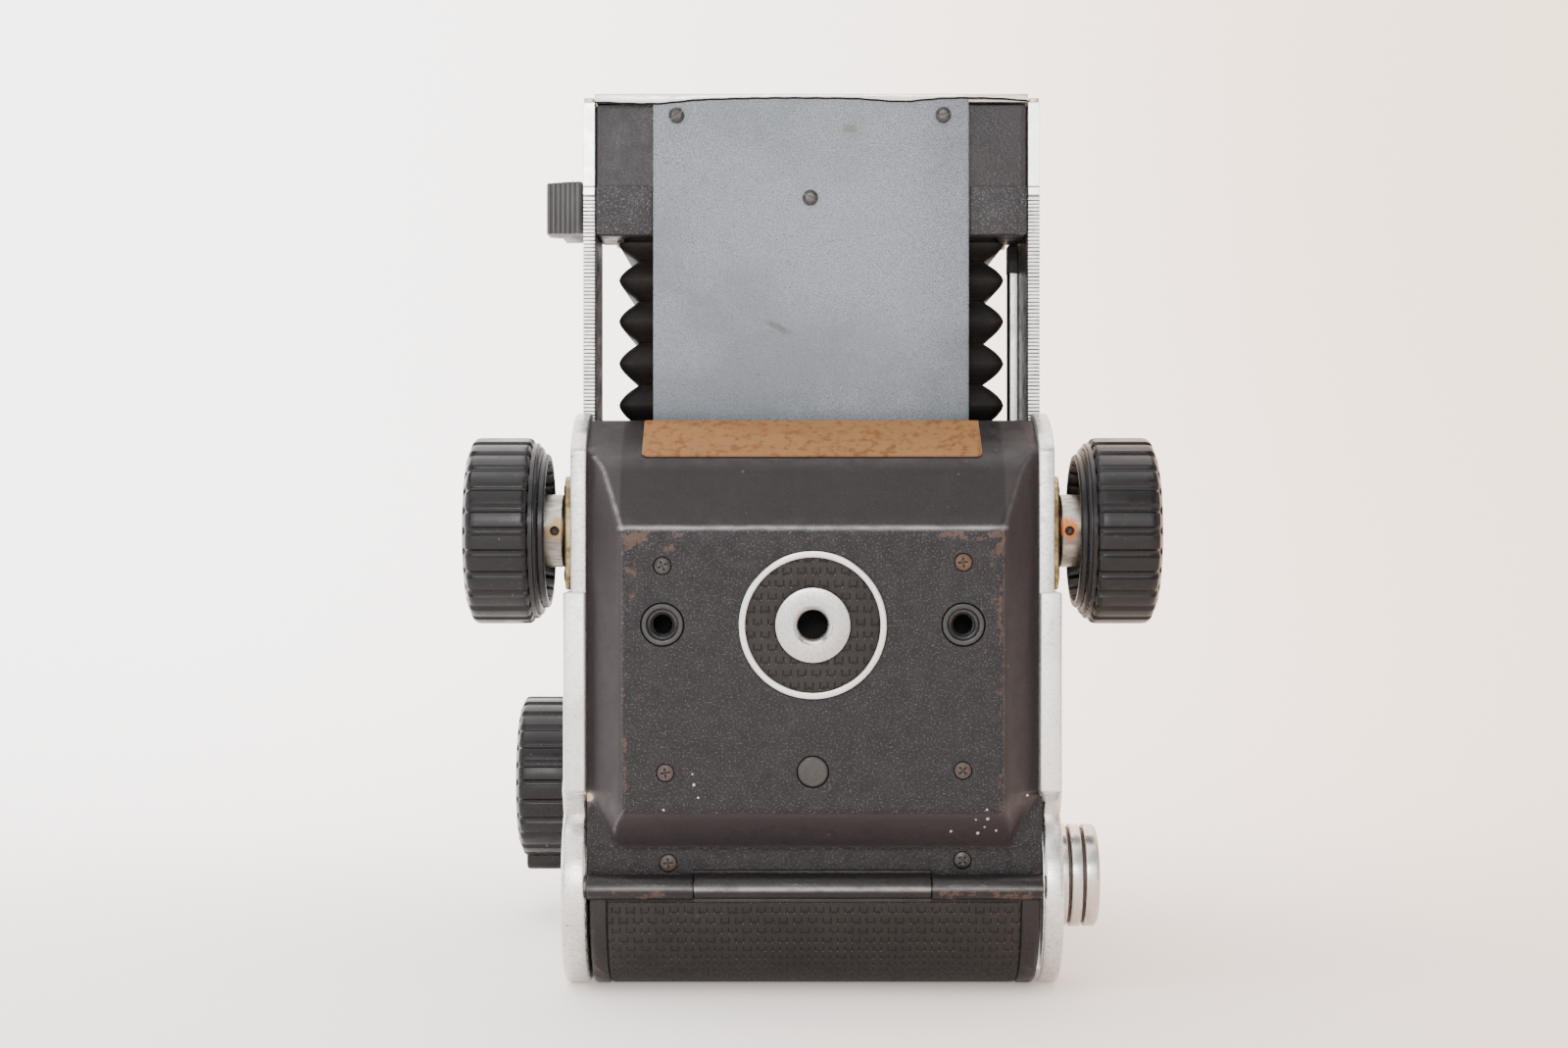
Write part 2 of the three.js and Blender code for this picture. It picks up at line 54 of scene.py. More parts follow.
# ------------------------------------------------------------------ node helpers
class Mat:
    """A short way to write a node material. A value is a socket, a number or a colour."""

    def __init__(self, name):
        self.m = bpy.data.materials.new(name)
        self.m.use_nodes = True
        self.t = self.m.node_tree
        self.t.nodes.clear()
        self.out = self.t.nodes.new("ShaderNodeOutputMaterial")
        self.b = self.t.nodes.new("ShaderNodeBsdfPrincipled")
        self.t.links.new(self.b.outputs[0], self.out.inputs[0])
        self.co = self.t.nodes.new("ShaderNodeTexCoord").outputs["Object"]

    def put(self, sock, v):
        if isinstance(v, bpy.types.NodeSocket):
            self.t.links.new(v, sock)
        elif isinstance(v, (tuple, list)):
            sock.default_value = (*v, 1.0) if len(v) == 3 and len(sock.default_value) == 4 else v
        else:
            sock.default_value = v

    def node(self, kind, props=None, **inputs):
        n = self.t.nodes.new(kind)
        for k, v in (props or {}).items():
            setattr(n, k, v)
        for k, v in inputs.items():
            self.put(n.inputs[k.replace("_", " ")], v)
        return n

    def f(self, op, a, b=None, c=None, clamp=False):
        n = self.t.nodes.new("ShaderNodeMath")
        n.operation = op
        n.use_clamp = clamp
        for i, v in enumerate((a, b, c)):
            if v is not None:
                self.put(n.inputs[i], v)
        return n.outputs[0]

    def mix(self, fac, a, b, blend="MIX"):
        n = self.t.nodes.new("ShaderNodeMix")
        n.data_type = "RGBA"
        n.blend_type = blend
        self.put(n.inputs[0], fac)
        self.put(n.inputs[6], a)
        self.put(n.inputs[7], b)
        return n.outputs[2]

    def lerp(self, fac, a, b):
        n = self.t.nodes.new("ShaderNodeMix")
        n.data_type = "FLOAT"
        self.put(n.inputs[0], fac)
        self.put(n.inputs[2], a)
        self.put(n.inputs[3], b)
        return n.outputs[0]

    def step(self, v, lo, hi, a=0.0, b=1.0):
        n = self.t.nodes.new("ShaderNodeMapRange")
        n.interpolation_type = "SMOOTHSTEP"
        for i, x in enumerate((v, lo, hi, a, b)):
            self.put(n.inputs[i], x)
        return n.outputs[0]

    def noise(self, scale, detail=3.0, rough=0.55, co=None, stretch=None):
        c = co or self.co
        if stretch:
            mp = self.t.nodes.new("ShaderNodeMapping")
            self.put(mp.inputs[0], c)
            mp.inputs["Scale"].default_value = stretch
            c = mp.outputs[0]
        return self.node("ShaderNodeTexNoise", Vector=c, Scale=scale, Detail=detail, Roughness=rough).outputs["Fac"]

    def voronoi(self, scale, feature="F1", co=None):
        return self.node("ShaderNodeTexVoronoi", {"feature": feature}, Vector=co or self.co, Scale=scale).outputs["Distance"]

    def attr(self, name):
        return self.node("ShaderNodeAttribute", {"attribute_name": name}).outputs["Fac"]

    def xyz(self, co=None):
        n = self.t.nodes.new("ShaderNodeSeparateXYZ")
        self.put(n.inputs[0], co or self.co)
        return n.outputs

    def bump(self, h, dist, strength=1.0, normal=None):
        n = self.t.nodes.new("ShaderNodeBump")
        n.inputs["Strength"].default_value = strength
        n.inputs["Distance"].default_value = dist
        self.put(n.inputs["Height"], h)
        if normal is not None:
            self.put(n.inputs["Normal"], normal)
        return n.outputs[0]

    def set(self, **kw):
        names = {"color": "Base Color", "rough": "Roughness", "metal": "Metallic", "normal": "Normal", "coat": "Coat Weight",
                 "coat_rough": "Coat Roughness", "spec": "Specular IOR Level", "sheen": "Sheen Weight", "ior": "IOR",
                 "trans": "Transmission Weight", "aniso": "Anisotropic"}
        for k, v in kw.items():
            self.put(self.b.inputs[names[k]], v)
        return self.m


# ------------------------------------------------------------------ materials
def paint(name, base=(0.0105, 0.0084, 0.0085), crinkle=1.0, wear_attr=None, rough=0.42, dusty=0.25, speck=0.35, pad=False, spec=0.24):
    m = Mat(name)
    fine = m.noise(2600, 3, 0.6)
    cells = m.voronoi(1900)
    big = m.noise(70, 4, 0.6)
    mid = m.noise(420, 3, 0.6)
    tone = m.mix(m.step(big, 0.35, 0.7), base, tuple(c * 1.35 for c in base))
    grain = m.step(m.noise(3300, 2, 0.5), 0.54, 0.70)
    amount = speck
    if pad:                          # the flat faces are coarse, the pressed slopes are worn smooth
        _, y, z = m.xyz()
        flat = m.f("MAXIMUM", m.step(y, -0.08262, -0.08225, 1.0, 0.0), m.f("MULTIPLY", m.step(y, -0.07610, -0.07590), m.step(z, 0.034, 0.036, 1.0, 0.0)))
        amount = m.f("MULTIPLY_ADD", flat, speck * 0.95, speck * 0.12)
        tone = m.mix(flat, tone, tuple(c * k for c, k in zip(base, (1.0, 1.06, 1.20))))
        px_, _, _ = m.xyz()
        # painted light: the side and lower slopes are painted lighter, the left slope more than the right, as light
        # falls from the left
        slope_light_paint = m.f("MAXIMUM", m.step(z, 0.0350, 0.0335, 0.0, 0.55), m.f("MULTIPLY", m.step(m.f("ABSOLUTE", px_), 0.0325, 0.0332), m.step(px_, -0.01, 0.01, 0.62, 0.42)))
        tone = m.mix(m.f("MULTIPLY", slope_light_paint, m.f("SUBTRACT", 1.0, flat)), tone, tuple(c * k for c, k in zip(base, (3.4, 3.5, 3.75))))
    tone = m.mix(m.f("MULTIPLY", grain, amount), tone, (0.085, 0.083, 0.094))
    smear = m.noise(160, 5, 0.65, stretch=(1.0, 1.0, 0.35))
    tone = m.mix(m.step(smear, 0.56, 0.76, 0.0, dusty), tone, (0.030, 0.024, 0.022))
    # scattered chips through to the brown primer
    chip = m.f("MULTIPLY", m.step(m.noise(900, 2, 0.5), 0.70, 0.735), m.step(m.noise(60, 2, 0.5), 0.53, 0.62))
    tone = m.mix(m.f("MULTIPLY", chip, 0.7), tone, (0.090, 0.048, 0.032))
    metal, ro = 0.0, m.step(mid, 0.3, 0.7, rough - 0.06, rough + 0.12)
    h = m.f("ADD", m.f("MULTIPLY", fine, 0.5), m.f("MULTIPLY", cells, 0.9))
    if wear_attr:
        w = m.attr(wear_attr)
        edge = m.f("MULTIPLY", w, m.step(m.noise(430, 5, 0.7), 0.44, 0.62))
        rust = m.step(edge, 0.25, 0.62)
        tone = m.mix(m.f("MULTIPLY", rust, 0.85), tone, m.mix(m.noise(900, 3), (0.034, 0.022, 0.018), (0.100, 0.058, 0.042)))
        # painted highlight: lighter grey where the vertex attribute marks glinting edges; one patch of it is a real
        # chip
        highlight_and_chip = m.f("MULTIPLY", m.attr("highlight_and_chip"), m.step(m.noise(600, 4, 0.65, stretch=(0.35, 1.0, 1.0)), 0.32, 0.60, 0.45, 1.0))
        tone = m.mix(m.f("MULTIPLY", highlight_and_chip, 0.8), tone, (0.32, 0.32, 0.33))
        ro = m.lerp(m.f("MAXIMUM", highlight_and_chip, m.f("MULTIPLY", rust, 0.5)), ro, 0.33)
    if pad:
        dots = [(-38.55, 34.3, 0.85), (29.6, 32.9, 0.22), (29.8, 31.2, 0.28), (27.8, 31.0, 0.18), (23.7, 28.8, 0.26), (28.3, 28.4, 0.30),
                (29.4, 29.6, 0.18), (31.4, 28.9, 0.24), (36.9, 34.8, 0.24), (-20.5, 38.9, 0.20), (-20.2, 37.1, 0.28), (-19.5, 34.9, 0.24), (-25.4, 32.8, 0.22)]
        x, _, z = m.xyz()
        wob = m.f("MULTIPLY", m.f("SUBTRACT", m.noise(1500, 3, 0.6), 0.5), 0.0003)
        for px_, pz_, pr_ in dots:
            dx, dz = m.f("SUBTRACT", x, px_ / 1000), m.f("SUBTRACT", z, pz_ / 1000)
            q = m.f("ADD", m.f("SQRT", m.f("ADD", m.f("MULTIPLY", dx, dx), m.f("MULTIPLY", dz, dz))), wob)
            tone = m.mix(m.step(q, pr_ / 1000 * 0.7, pr_ / 1000, 1.0, 0.0), tone, (0.50, 0.36, 0.22) if pr_ > 0.5 else (0.42, 0.41, 0.40))
        ro = m.f("ADD", ro, m.f("MULTIPLY", flat, 0.05))
        h = m.f("MULTIPLY", h, m.f("MULTIPLY_ADD", flat, 0.75, 0.25))
    return m.set(color=tone, rough=ro, metal=metal, spec=spec, normal=m.bump(h, 0.00008, 0.8 * crinkle))


def aluminium(name, base=(0.78, 0.775, 0.765), rough=0.38, grain=(1.0, 1.0, 12.0), darkening=0.6, metal=0.85, mottle=0.35):
    m = Mat(name)
    g = m.noise(420, 4, 0.6, stretch=grain)
    big = m.noise(55, 4, 0.6)
    scr = m.noise(240, 2, 0.5, stretch=(1.0, 6.0, 0.4))
    scratch = m.step(m.f("ABSOLUTE", m.f("SUBTRACT", scr, 0.5)), 0.0, 0.006, 1.0, 0.0)
    scratch = m.f("MULTIPLY", scratch, m.step(m.noise(35, 2), 0.48, 0.6))
    pit = m.f("MULTIPLY", m.step(m.noise(1500, 3, 0.6), 0.63, 0.70), m.step(m.noise(110, 4), 0.44, 0.60))
    c = m.mix(m.step(big, 0.3, 0.75), base, tuple(x * 0.80 for x in base))
    c = m.mix(m.f("MULTIPLY", m.step(m.noise(1900, 3, 0.7), 0.42, 0.66), mottle), c, tuple(x * 0.45 for x in base))
    c = m.mix(m.f("MULTIPLY", pit, darkening), c, (0.16, 0.12, 0.075))
    grime = m.f("MULTIPLY", m.step(m.noise(130, 5, 0.7), 0.56, 0.72), darkening * 0.55)
    c = m.mix(grime, c, (0.36, 0.31, 0.23))
    c = m.mix(m.f("MULTIPLY", scratch, 0.5), c, (0.30, 0.29, 0.28))
    ro = m.f("ADD", m.step(g, 0.3, 0.7, rough - 0.07, rough + 0.08), m.f("MULTIPLY", grime, 0.3))
    return m.set(color=c, rough=ro, metal=metal, normal=m.bump(m.f("SUBTRACT", g, m.f("MULTIPLY", scratch, 0.6)), 0.00003, 0.6))


def leatherette(name, uv=True):
    """Embossed horseshoe pattern: rows 2.17 mm apart, columns 2.5 mm, every second row moved by half a column."""
    m = Mat(name)
    src = m.node("ShaderNodeUVMap", {"uv_map": "mm"}).outputs[0]
    x, y, _ = m.xyz(src)
    row = m.f("FLOOR", m.f("DIVIDE", y, 2.17))
    odd = m.f("MODULO", m.f("ABSOLUTE", row), 2.0)
    px = m.f("SUBTRACT", m.f("FRACT", m.f("ADD", m.f("DIVIDE", x, 2.5), m.f("MULTIPLY", odd, 0.5))), 0.5)
    py = m.f("SUBTRACT", m.f("FRACT", m.f("DIVIDE", y, 2.17)), 0.5)
    px, py = m.f("MULTIPLY", px, 2.5), m.f("MULTIPLY", py, 2.17)
    ax = m.f("ABSOLUTE", px)
    # each figure: two upright legs with small feet, joined low down by a curve that rises in the middle
    legs = m.f("MULTIPLY", m.step(m.f("ABSOLUTE", m.f("SUBTRACT", ax, 0.66)), 0.05, 0.17, 1.0, 0.0),
               m.f("MULTIPLY", m.step(py, -0.66, -0.58), m.step(py, 0.52, 0.66, 1.0, 0.0)))
    curve = m.f("SUBTRACT", py, m.f("MULTIPLY_ADD", m.f("COSINE", m.f("MULTIPLY", ax, 4.6)), 0.15, -0.46))
    foot = m.f("MULTIPLY", m.step(m.f("ABSOLUTE", curve), 0.07, 0.19, 1.0, 0.0), m.step(ax, 0.62, 0.72, 1.0, 0.0))
    groove = m.f("MAXIMUM", legs, foot)
    inside = m.f("MULTIPLY", m.step(ax, 0.50, 0.62, 1.0, 0.0), m.f("MULTIPLY", m.step(curve, 0.0, 0.12), m.step(py, 0.40, 0.60, 1.0, 0.0)))
    nib = m.f("MULTIPLY", m.step(m.f("ABSOLUTE", m.f("SUBTRACT", ax, 0.60)), 0.05, 0.20, 1.0, 0.0), m.step(m.f("ABSOLUTE", m.f("ADD", py, 0.60)), 0.05, 0.16, 1.0, 0.0))
    pore = m.noise(2400, 2, 0.5)
    pits = m.step(m.voronoi(1500), 0.10, 0.30, 1.0, 0.0)
    h = m.f("SUBTRACT", m.f("MULTIPLY", pore, 0.30), m.f("ADD", m.f("MULTIPLY", groove, 0.9), m.f("MULTIPLY", pits, 0.18)))
    h = m.f("ADD", h, m.f("MULTIPLY", nib, 0.7))
    big = m.noise(80, 4, 0.6)
    base = m.mix(m.step(big, 0.3, 0.7), (0.0120, 0.0094, 0.0086), (0.0175, 0.0138, 0.0128))
    # painted shade: the grooves, and faintly the inside of each figure, are painted almost black
    c = m.mix(m.f("MULTIPLY", m.f("MAXIMUM", groove, m.f("MULTIPLY", inside, 0.10)), 0.80), base, (0.0025, 0.002, 0.002))
    # painted highlight: light dots on the raised nibs
    c = m.mix(m.f("MULTIPLY", nib, m.step(m.noise(300, 2), 0.40, 0.60, 0.05, 0.65)), c, (0.16, 0.14, 0.125))
    c = m.mix(m.step(m.noise(520, 4, 0.65), 0.60, 0.78, 0.0, 0.3), c, (0.050, 0.042, 0.038))
    return m.set(color=c, rough=m.step(pore, 0.3, 0.7, 0.44, 0.62), spec=0.24, normal=m.bump(h, 0.00022, 0.9))


def hammertone(name):
    m = Mat(name)
    speck = m.noise(7500, 2, 0.8)
    cell = m.voronoi(2600)
    x, _, z = m.xyz()
    # painted light and shade: lighter across the middle and top and much darker towards the bottom, as the light falls.
    # The right edge is also made darker.
    top = m.step(z, 0.118, 0.156)
    low = m.step(z, 0.082, 0.112, 1.0, 0.0)
    base = m.mix(top, (0.128, 0.140, 0.160), (0.112, 0.128, 0.134))
    base = m.mix(low, base, (0.042, 0.047, 0.056))
    base = m.mix(m.step(x, 0.012, 0.029, 0.0, 0.62), base, (0.040, 0.045, 0.052))
    c = m.mix(m.step(speck, 0.40, 0.62), m.mix(0.72, base, (0.014, 0.019, 0.024)), m.mix(0.40, base, (0.56, 0.60, 0.68)))
    cloud = m.step(m.noise(38, 4, 0.6), 0.40, 0.68, 0.0, 0.55)
    c = m.mix(cloud, c, m.mix(0.5, base, (0.06, 0.075, 0.078)))
    # a few rubbed scuffs and small stains
    def blot(cx, cz, rx, rz, k, col):
        nonlocal c
        dx = m.f("DIVIDE", m.f("SUBTRACT", x, cx / 1000.0), rx / 1000.0)
        dz = m.f("DIVIDE", m.f("SUBTRACT", z, cz / 1000.0), rz / 1000.0)
        sh = m.f("MULTIPLY", k, m.f("SUBTRACT", dx, 0.0))
        q = m.f("SQRT", m.f("ADD", m.f("MULTIPLY", dx, dx), m.f("POWER", m.f("ADD", dz, sh), 2.0)))
        q = m.f("ADD", q, m.f("MULTIPLY", m.f("SUBTRACT", m.noise(420, 4, 0.65), 0.5), 1.5))
        c = m.mix(m.step(q, 0.35, 1.1, 0.55, 0.0), c, col)
    blot(-6.2, 116.5, 3.0, 0.8, 1.6, (0.06, 0.07, 0.07))
    blot(6.8, 151.6, 1.4, 1.0, 0.0, (0.09, 0.075, 0.05))
    blot(-9.5, 108.0, 0.5, 0.5, 0.0, (0.07, 0.06, 0.05))
    blot(17.5, 121.0, 2.0, 3.0, 0.0, (0.16, 0.17, 0.18))
    return m.set(color=c, rough=m.step(speck, 0.3, 0.7, 0.38, 0.52), metal=0.30, spec=0.3,
                 normal=m.bump(m.f("ADD", m.f("MULTIPLY", cell, 0.7), m.f("MULTIPLY", speck, 0.5)), 0.00003, 0.7))


def plastic(name, base=(0.0060, 0.0055, 0.0062), rough=0.25, dust=0.14):
    m = Mat(name)
    fine = m.noise(1800, 3, 0.6)
    big = m.noise(90, 4, 0.6)
    c = m.mix(m.f("MULTIPLY", m.step(m.noise(380, 5, 0.7), 0.57, 0.78), dust), base, (0.030, 0.027, 0.029))
    nick = m.f("MULTIPLY", m.step(m.noise(1500, 2, 0.5), 0.715, 0.74), m.step(big, 0.46, 0.6))
    c = m.mix(m.f("MULTIPLY", nick, 0.6), c, (0.16, 0.145, 0.135))
    ro = m.step(big, 0.3, 0.7, rough - 0.05, rough + 0.14)
    return m.set(color=c, rough=ro, spec=0.26, normal=m.bump(fine, 0.000018, 0.6))


def bellows_cloth(name):
    m = Mat(name)
    w = m.attr("wear")
    fine = m.noise(1500, 3, 0.6)
    c = m.mix(m.step(m.noise(120, 4), 0.3, 0.7), (0.0045, 0.0038, 0.0038), (0.0085, 0.0072, 0.0070))
    brown = m.f("MULTIPLY", w, m.step(m.noise(300, 4, 0.65), 0.40, 0.66))
    c = m.mix(m.f("MULTIPLY", brown, 0.7), c, (0.042, 0.026, 0.018))
    warp = m.noise(900, 2, 0.5, stretch=(1.0, 1.0, 4.0))
    return m.set(color=c, rough=0.62, spec=0.16, sheen=0.02,
                 normal=m.bump(m.f("ADD", fine, m.f("MULTIPLY", warp, 0.6)), 0.00006, 0.8))


def tan_metal(name):
    m = Mat(name)
    g = m.noise(420, 4, 0.6, stretch=(0.35, 1.0, 7.0))
    c = m.mix(m.step(m.noise(60, 5, 0.65), 0.35, 0.72), (0.150, 0.058, 0.0150), (0.112, 0.043, 0.0110))
    c = m.mix(m.step(g, 0.50, 0.80, 0.0, 0.30), c, (0.22, 0.10, 0.034))
    c = m.mix(m.step(m.noise(1400, 2), 0.60, 0.72, 0.0, 0.35), c, (0.070, 0.028, 0.009))
    x, _, _ = m.xyz()
    side = m.step(x, 0.012, 0.026, 0.15, 1.0)
    tarn = m.f("MULTIPLY", side, m.f("MULTIPLY", m.step(m.noise(360, 5, 0.7), 0.58, 0.68), m.step(m.noise(70, 3), 0.45, 0.60)))
    c = m.mix(tarn, c, (0.060, 0.034, 0.022))
    c = m.mix(m.f("MULTIPLY", m.attr("wear"), m.step(m.noise(600, 3, 0.6), 0.34, 0.52, 0.05, 0.28)), c, (0.42, 0.25, 0.12))
    return m.set(color=c, rough=m.lerp(tarn, m.step(g, 0.3, 0.7, 0.46, 0.60), 0.7), metal=0.0, spec=0.14,
                 normal=m.bump(m.f("SUBTRACT", g, m.f("MULTIPLY", tarn, 0.7)), 0.00002, 0.5))


def steel(name, base=(0.52, 0.51, 0.49), rough=0.32, rust=0.35, rust_tones=((0.09, 0.032, 0.012), (0.24, 0.11, 0.04)), metal=1.0):
    m = Mat(name)
    g = m.noise(900, 3, 0.6)
    r = m.f("MULTIPLY", m.step(m.noise(480, 5, 0.7), 0.52, 0.66), rust)
    c = m.mix(m.step(g, 0.3, 0.7), base, tuple(x * 0.8 for x in base))
    c = m.mix(r, c, m.mix(m.noise(900, 2), rust_tones[0], rust_tones[1]))
    return m.set(color=c, rough=m.lerp(r, m.step(g, 0.3, 0.7, rough - 0.06, rough + 0.08), 0.75), metal=m.lerp(r, metal, 0.15),
                 normal=m.bump(m.f("ADD", g, r), 0.00003, 0.6))


def simple_metal(name, base, rough, grain=600, streak=(1, 1, 1)):
    m = Mat(name)
    g = m.noise(grain, 4, 0.6, stretch=streak)
    c = m.mix(m.step(g, 0.3, 0.7), base, tuple(x * 0.84 for x in base))
    c = m.mix(m.step(m.noise(210, 5, 0.7), 0.62, 0.76, 0.0, 0.4), c, tuple(x * 0.45 for x in base))
    return m.set(color=c, rough=m.step(g, 0.3, 0.7, rough - 0.04, rough + 0.06), metal=1.0, normal=m.bump(g, 0.00001, 0.5))


MAT_COVER = paint("black_crinkle_base", wear_attr="wear", pad=True, speck=0.55)
MAT_DOOR = paint("black_crinkle_door", wear_attr="wear", crinkle=0.6, rough=0.34, speck=0.12)
MAT_STD = paint("dark_grey_front", base=(0.024, 0.0225, 0.0245), crinkle=0.9, wear_attr="wear", rough=0.40, dusty=0.10, speck=0.40)
MAT_APRON = paint("speckled_front_strip", base=(0.017, 0.016, 0.0175), crinkle=1.1, wear_attr="wear", rough=0.40, dusty=0.05, speck=0.95)
MAT_PAINT = paint("black_paint_plain", crinkle=0.8)
MAT_INNER = paint("matt_black_inside", base=(0.0055, 0.0052, 0.0052), crinkle=0.4, rough=0.72, dusty=0.1, speck=0.05)
MAT_ALU = aluminium("satin_aluminium")
MAT_ALU_EDGE = aluminium("satin_aluminium_edge", base=(0.66, 0.655, 0.64), rough=0.33, darkening=0.9, mottle=0.55)
MAT_ALU_LIP = aluminium("satin_aluminium_lip", base=(0.72, 0.71, 0.69), rough=0.33, darkening=0.45, mottle=0.25)
MAT_ALU_EAR = aluminium("satin_aluminium_ear", base=(0.72, 0.70, 0.675), rough=0.30, darkening=1.0, mottle=0.40, metal=0.95)
MAT_TURNED = aluminium("turned_aluminium", base=(0.66, 0.65, 0.63), rough=0.24, grain=(1.0, 1.0, 1.0), darkening=0.45, metal=0.96, mottle=0.15)
MAT_DISC = aluminium("scratched_disc", base=(0.47, 0.46, 0.45), rough=0.24, grain=(1.0, 1.0, 1.0), darkening=0.5, metal=0.96, mottle=0.35)
MAT_BUSH = steel("dark_bush", base=(0.020, 0.020, 0.021), rough=0.24, rust=0.25, rust_tones=((0.012, 0.010, 0.009), (0.060, 0.050, 0.042)), metal=0.3)
MAT_LEATHER = leatherette("leatherette")
MAT_GUARD = hammertone("grey_hammertone")
MAT_PLASTIC = plastic("black_knob_plastic")
MAT_PLASTIC_DULL = plastic("grey_black_plastic", base=(0.062, 0.060, 0.063), rough=0.42, dust=0.4)
MAT_BELLOWS = bellows_cloth("bellows_cloth")
MAT_TAN = tan_metal("tan_plate")
MAT_STEEL = steel("machined_steel")
MAT_SCREW = steel("dark_screw", base=(0.040, 0.038, 0.037), rough=0.34, rust=0.35, rust_tones=((0.030, 0.020, 0.016), (0.060, 0.045, 0.038)), metal=0.55)
MAT_SCREW_BROWN = steel("brown_screw", base=(0.052, 0.040, 0.036), rough=0.45, rust=0.9, rust_tones=((0.045, 0.026, 0.021), (0.098, 0.056, 0.044)), metal=0.4)
MAT_SCREW_RUSTY = steel("rusty_screw", base=(0.080, 0.045, 0.030), rough=0.5, rust=0.95, rust_tones=((0.060, 0.028, 0.018), (0.17, 0.075, 0.042)), metal=0.4)
MAT_SCREW_YELLOW = steel("yellowed_screw", base=(0.45, 0.37, 0.22), rough=0.36, rust=0.45)
MAT_CHROME = simple_metal("polished_chrome", (0.56, 0.53, 0.50), 0.27, 260, (8, 1, 1))
MAT_BRASS = simple_metal("cut_brass", (0.55, 0.38, 0.15), 0.30)
MAT_MIRROR = simple_metal("front_mirror", (0.88, 0.90, 0.92), 0.06, 60)


def rail_metal():
    """Bright rack metal whose fine tooth gaps and two grooves are painted dark as shade."""
    m = Mat("rack_aluminium")
    _, y, z = m.xyz()
    ph = m.f("FRACT", m.f("DIVIDE", m.f("SUBTRACT", z, 0.05836), 0.000648))
    # painted shade: the gaps between the teeth and two grooves near the top of the front face are painted near black,
    # the darkness varied by noise
    gap = m.f("MULTIPLY", m.step(m.f("ABSOLUTE", m.f("SUBTRACT", ph, 0.5)), 0.17, 0.27, 1.0, 0.0), m.f("MULTIPLY", m.step(z, 0.0583, 0.0585), m.step(z, 0.1396, 0.1398, 1.0, 0.0)))
    lines = m.f("ADD", m.step(m.f("ABSOLUTE", m.f("SUBTRACT", z, 0.13975)), 0.00006, 0.00014, 1.0, 0.0), m.step(m.f("ABSOLUTE", m.f("SUBTRACT", z, 0.1415)), 0.00006, 0.00014, 1.0, 0.0))
    front = m.step(y, -0.0602, -0.0598, 1.0, 0.0)
    darkening = m.step(m.noise(300, 4, 0.65), 0.35, 0.62, 0.80, 1.0)
    k = m.f("MULTIPLY", m.f("MULTIPLY", m.f("MAXIMUM", gap, m.f("MULTIPLY", lines, 0.8)), front), darkening)
    g = m.noise(500, 4, 0.6)
    c = m.mix(m.step(m.noise(60, 4), 0.3, 0.7), (0.92, 0.91, 0.90), (0.80, 0.79, 0.77))
    c = m.mix(m.f("MULTIPLY", m.step(m.noise(700, 3, 0.6), 0.64, 0.72), m.step(m.noise(90, 3), 0.48, 0.62)), c, (0.30, 0.20, 0.11))
    c = m.mix(k, c, (0.030, 0.026, 0.023))
    return m.set(color=c, rough=m.f("ADD", m.step(g, 0.3, 0.7, 0.26, 0.38), m.f("MULTIPLY", k, 0.3)), metal=m.lerp(k, 0.95, 0.3), normal=m.bump(g, 0.000015, 0.5))


def collar_metal():
    """Turned steel collar with rust that has run out of the set screw hole, and a painted highlight band round its
    middle.
    """
    m = Mat("stained_collar")
    x, _, z = m.xyz()
    dx = m.f("SUBTRACT", m.f("ABSOLUTE", x), 0.0447)
    dz = m.f("SUBTRACT", z, 0.0806)
    q = m.f("SQRT", m.f("ADD", m.f("MULTIPLY", dx, dx), m.f("MULTIPLY", m.f("MULTIPLY", dz, dz), 0.75)))
    q = m.f("ADD", q, m.f("MULTIPLY", m.f("SUBTRACT", m.noise(700, 4, 0.65), 0.5), 0.0022))
    stain = m.step(q, 0.0010, 0.0021, 1.0, 0.0)
    right = m.step(x, -0.001, 0.001)
    tint = m.mix(right, (0.50, 0.27, 0.04), (0.62, 0.17, 0.012))
    g = m.noise(700, 4, 0.6, stretch=(0.4, 2.0, 2.0))
    c = m.mix(m.step(g, 0.3, 0.7), (0.33, 0.31, 0.28), (0.20, 0.185, 0.165))
    # painted highlight: a light band round the middle of the collar
    painted_highlight_band = m.step(m.f("ABSOLUTE", m.f("SUBTRACT", z, 0.0820)), 0.0004, 0.0022, 1.0, 0.0)
    c = m.mix(m.f("MULTIPLY", painted_highlight_band, 0.55), c, (0.80, 0.77, 0.72))
    c = m.mix(m.step(m.noise(260, 5, 0.7), 0.55, 0.72, 0.0, 0.55), c, (0.20, 0.15, 0.09))
    c = m.mix(m.f("MULTIPLY", stain, m.f("MULTIPLY_ADD", right, 0.25, 0.68)), c, tint)
    return m.set(color=c, rough=m.lerp(stain, m.step(g, 0.3, 0.7, 0.26, 0.40), 0.55), metal=m.lerp(stain, 1.0, 0.35), normal=m.bump(m.f("ADD", g, stain), 0.00002, 0.6))


def flange_metal():
    """Thin yellow-chromated flange, corroded at its edges."""
    m = Mat("chromated_flange")
    g = m.noise(600, 4, 0.65)
    c = m.mix(m.step(g, 0.35, 0.65), (0.34, 0.27, 0.14), (0.16, 0.12, 0.06))
    c = m.mix(m.step(m.noise(420, 5, 0.7), 0.52, 0.66, 0.0, 0.8), c, (0.10, 0.055, 0.022))
    return m.set(color=c, rough=m.step(g, 0.3, 0.7, 0.30, 0.55), metal=0.8, normal=m.bump(g, 0.00003, 0.7))


MAT_RAIL, MAT_COLLAR, MAT_FLANGE = rail_metal(), collar_metal(), flange_metal()
MAT_CAP = simple_metal("beige_cap", (0.52, 0.44, 0.33), 0.42)


# ------------------------------------------------------------------ mesh helpers, all in the model's own millimetres
def raw(name, verts, faces):
    v = np.array(verts, float).reshape(-1, 3).copy()
    v[:, 1] += Y_SHIFT
    v /= 1000.0
    me = bpy.data.meshes.new(name)
    me.from_pydata(v.tolist(), [], [tuple(int(i) for i in f) for f in faces])
    return me


def smooth(me, angle=38):
    me.shade_smooth()
    me.set_sharp_from_angle(angle=math.radians(angle))


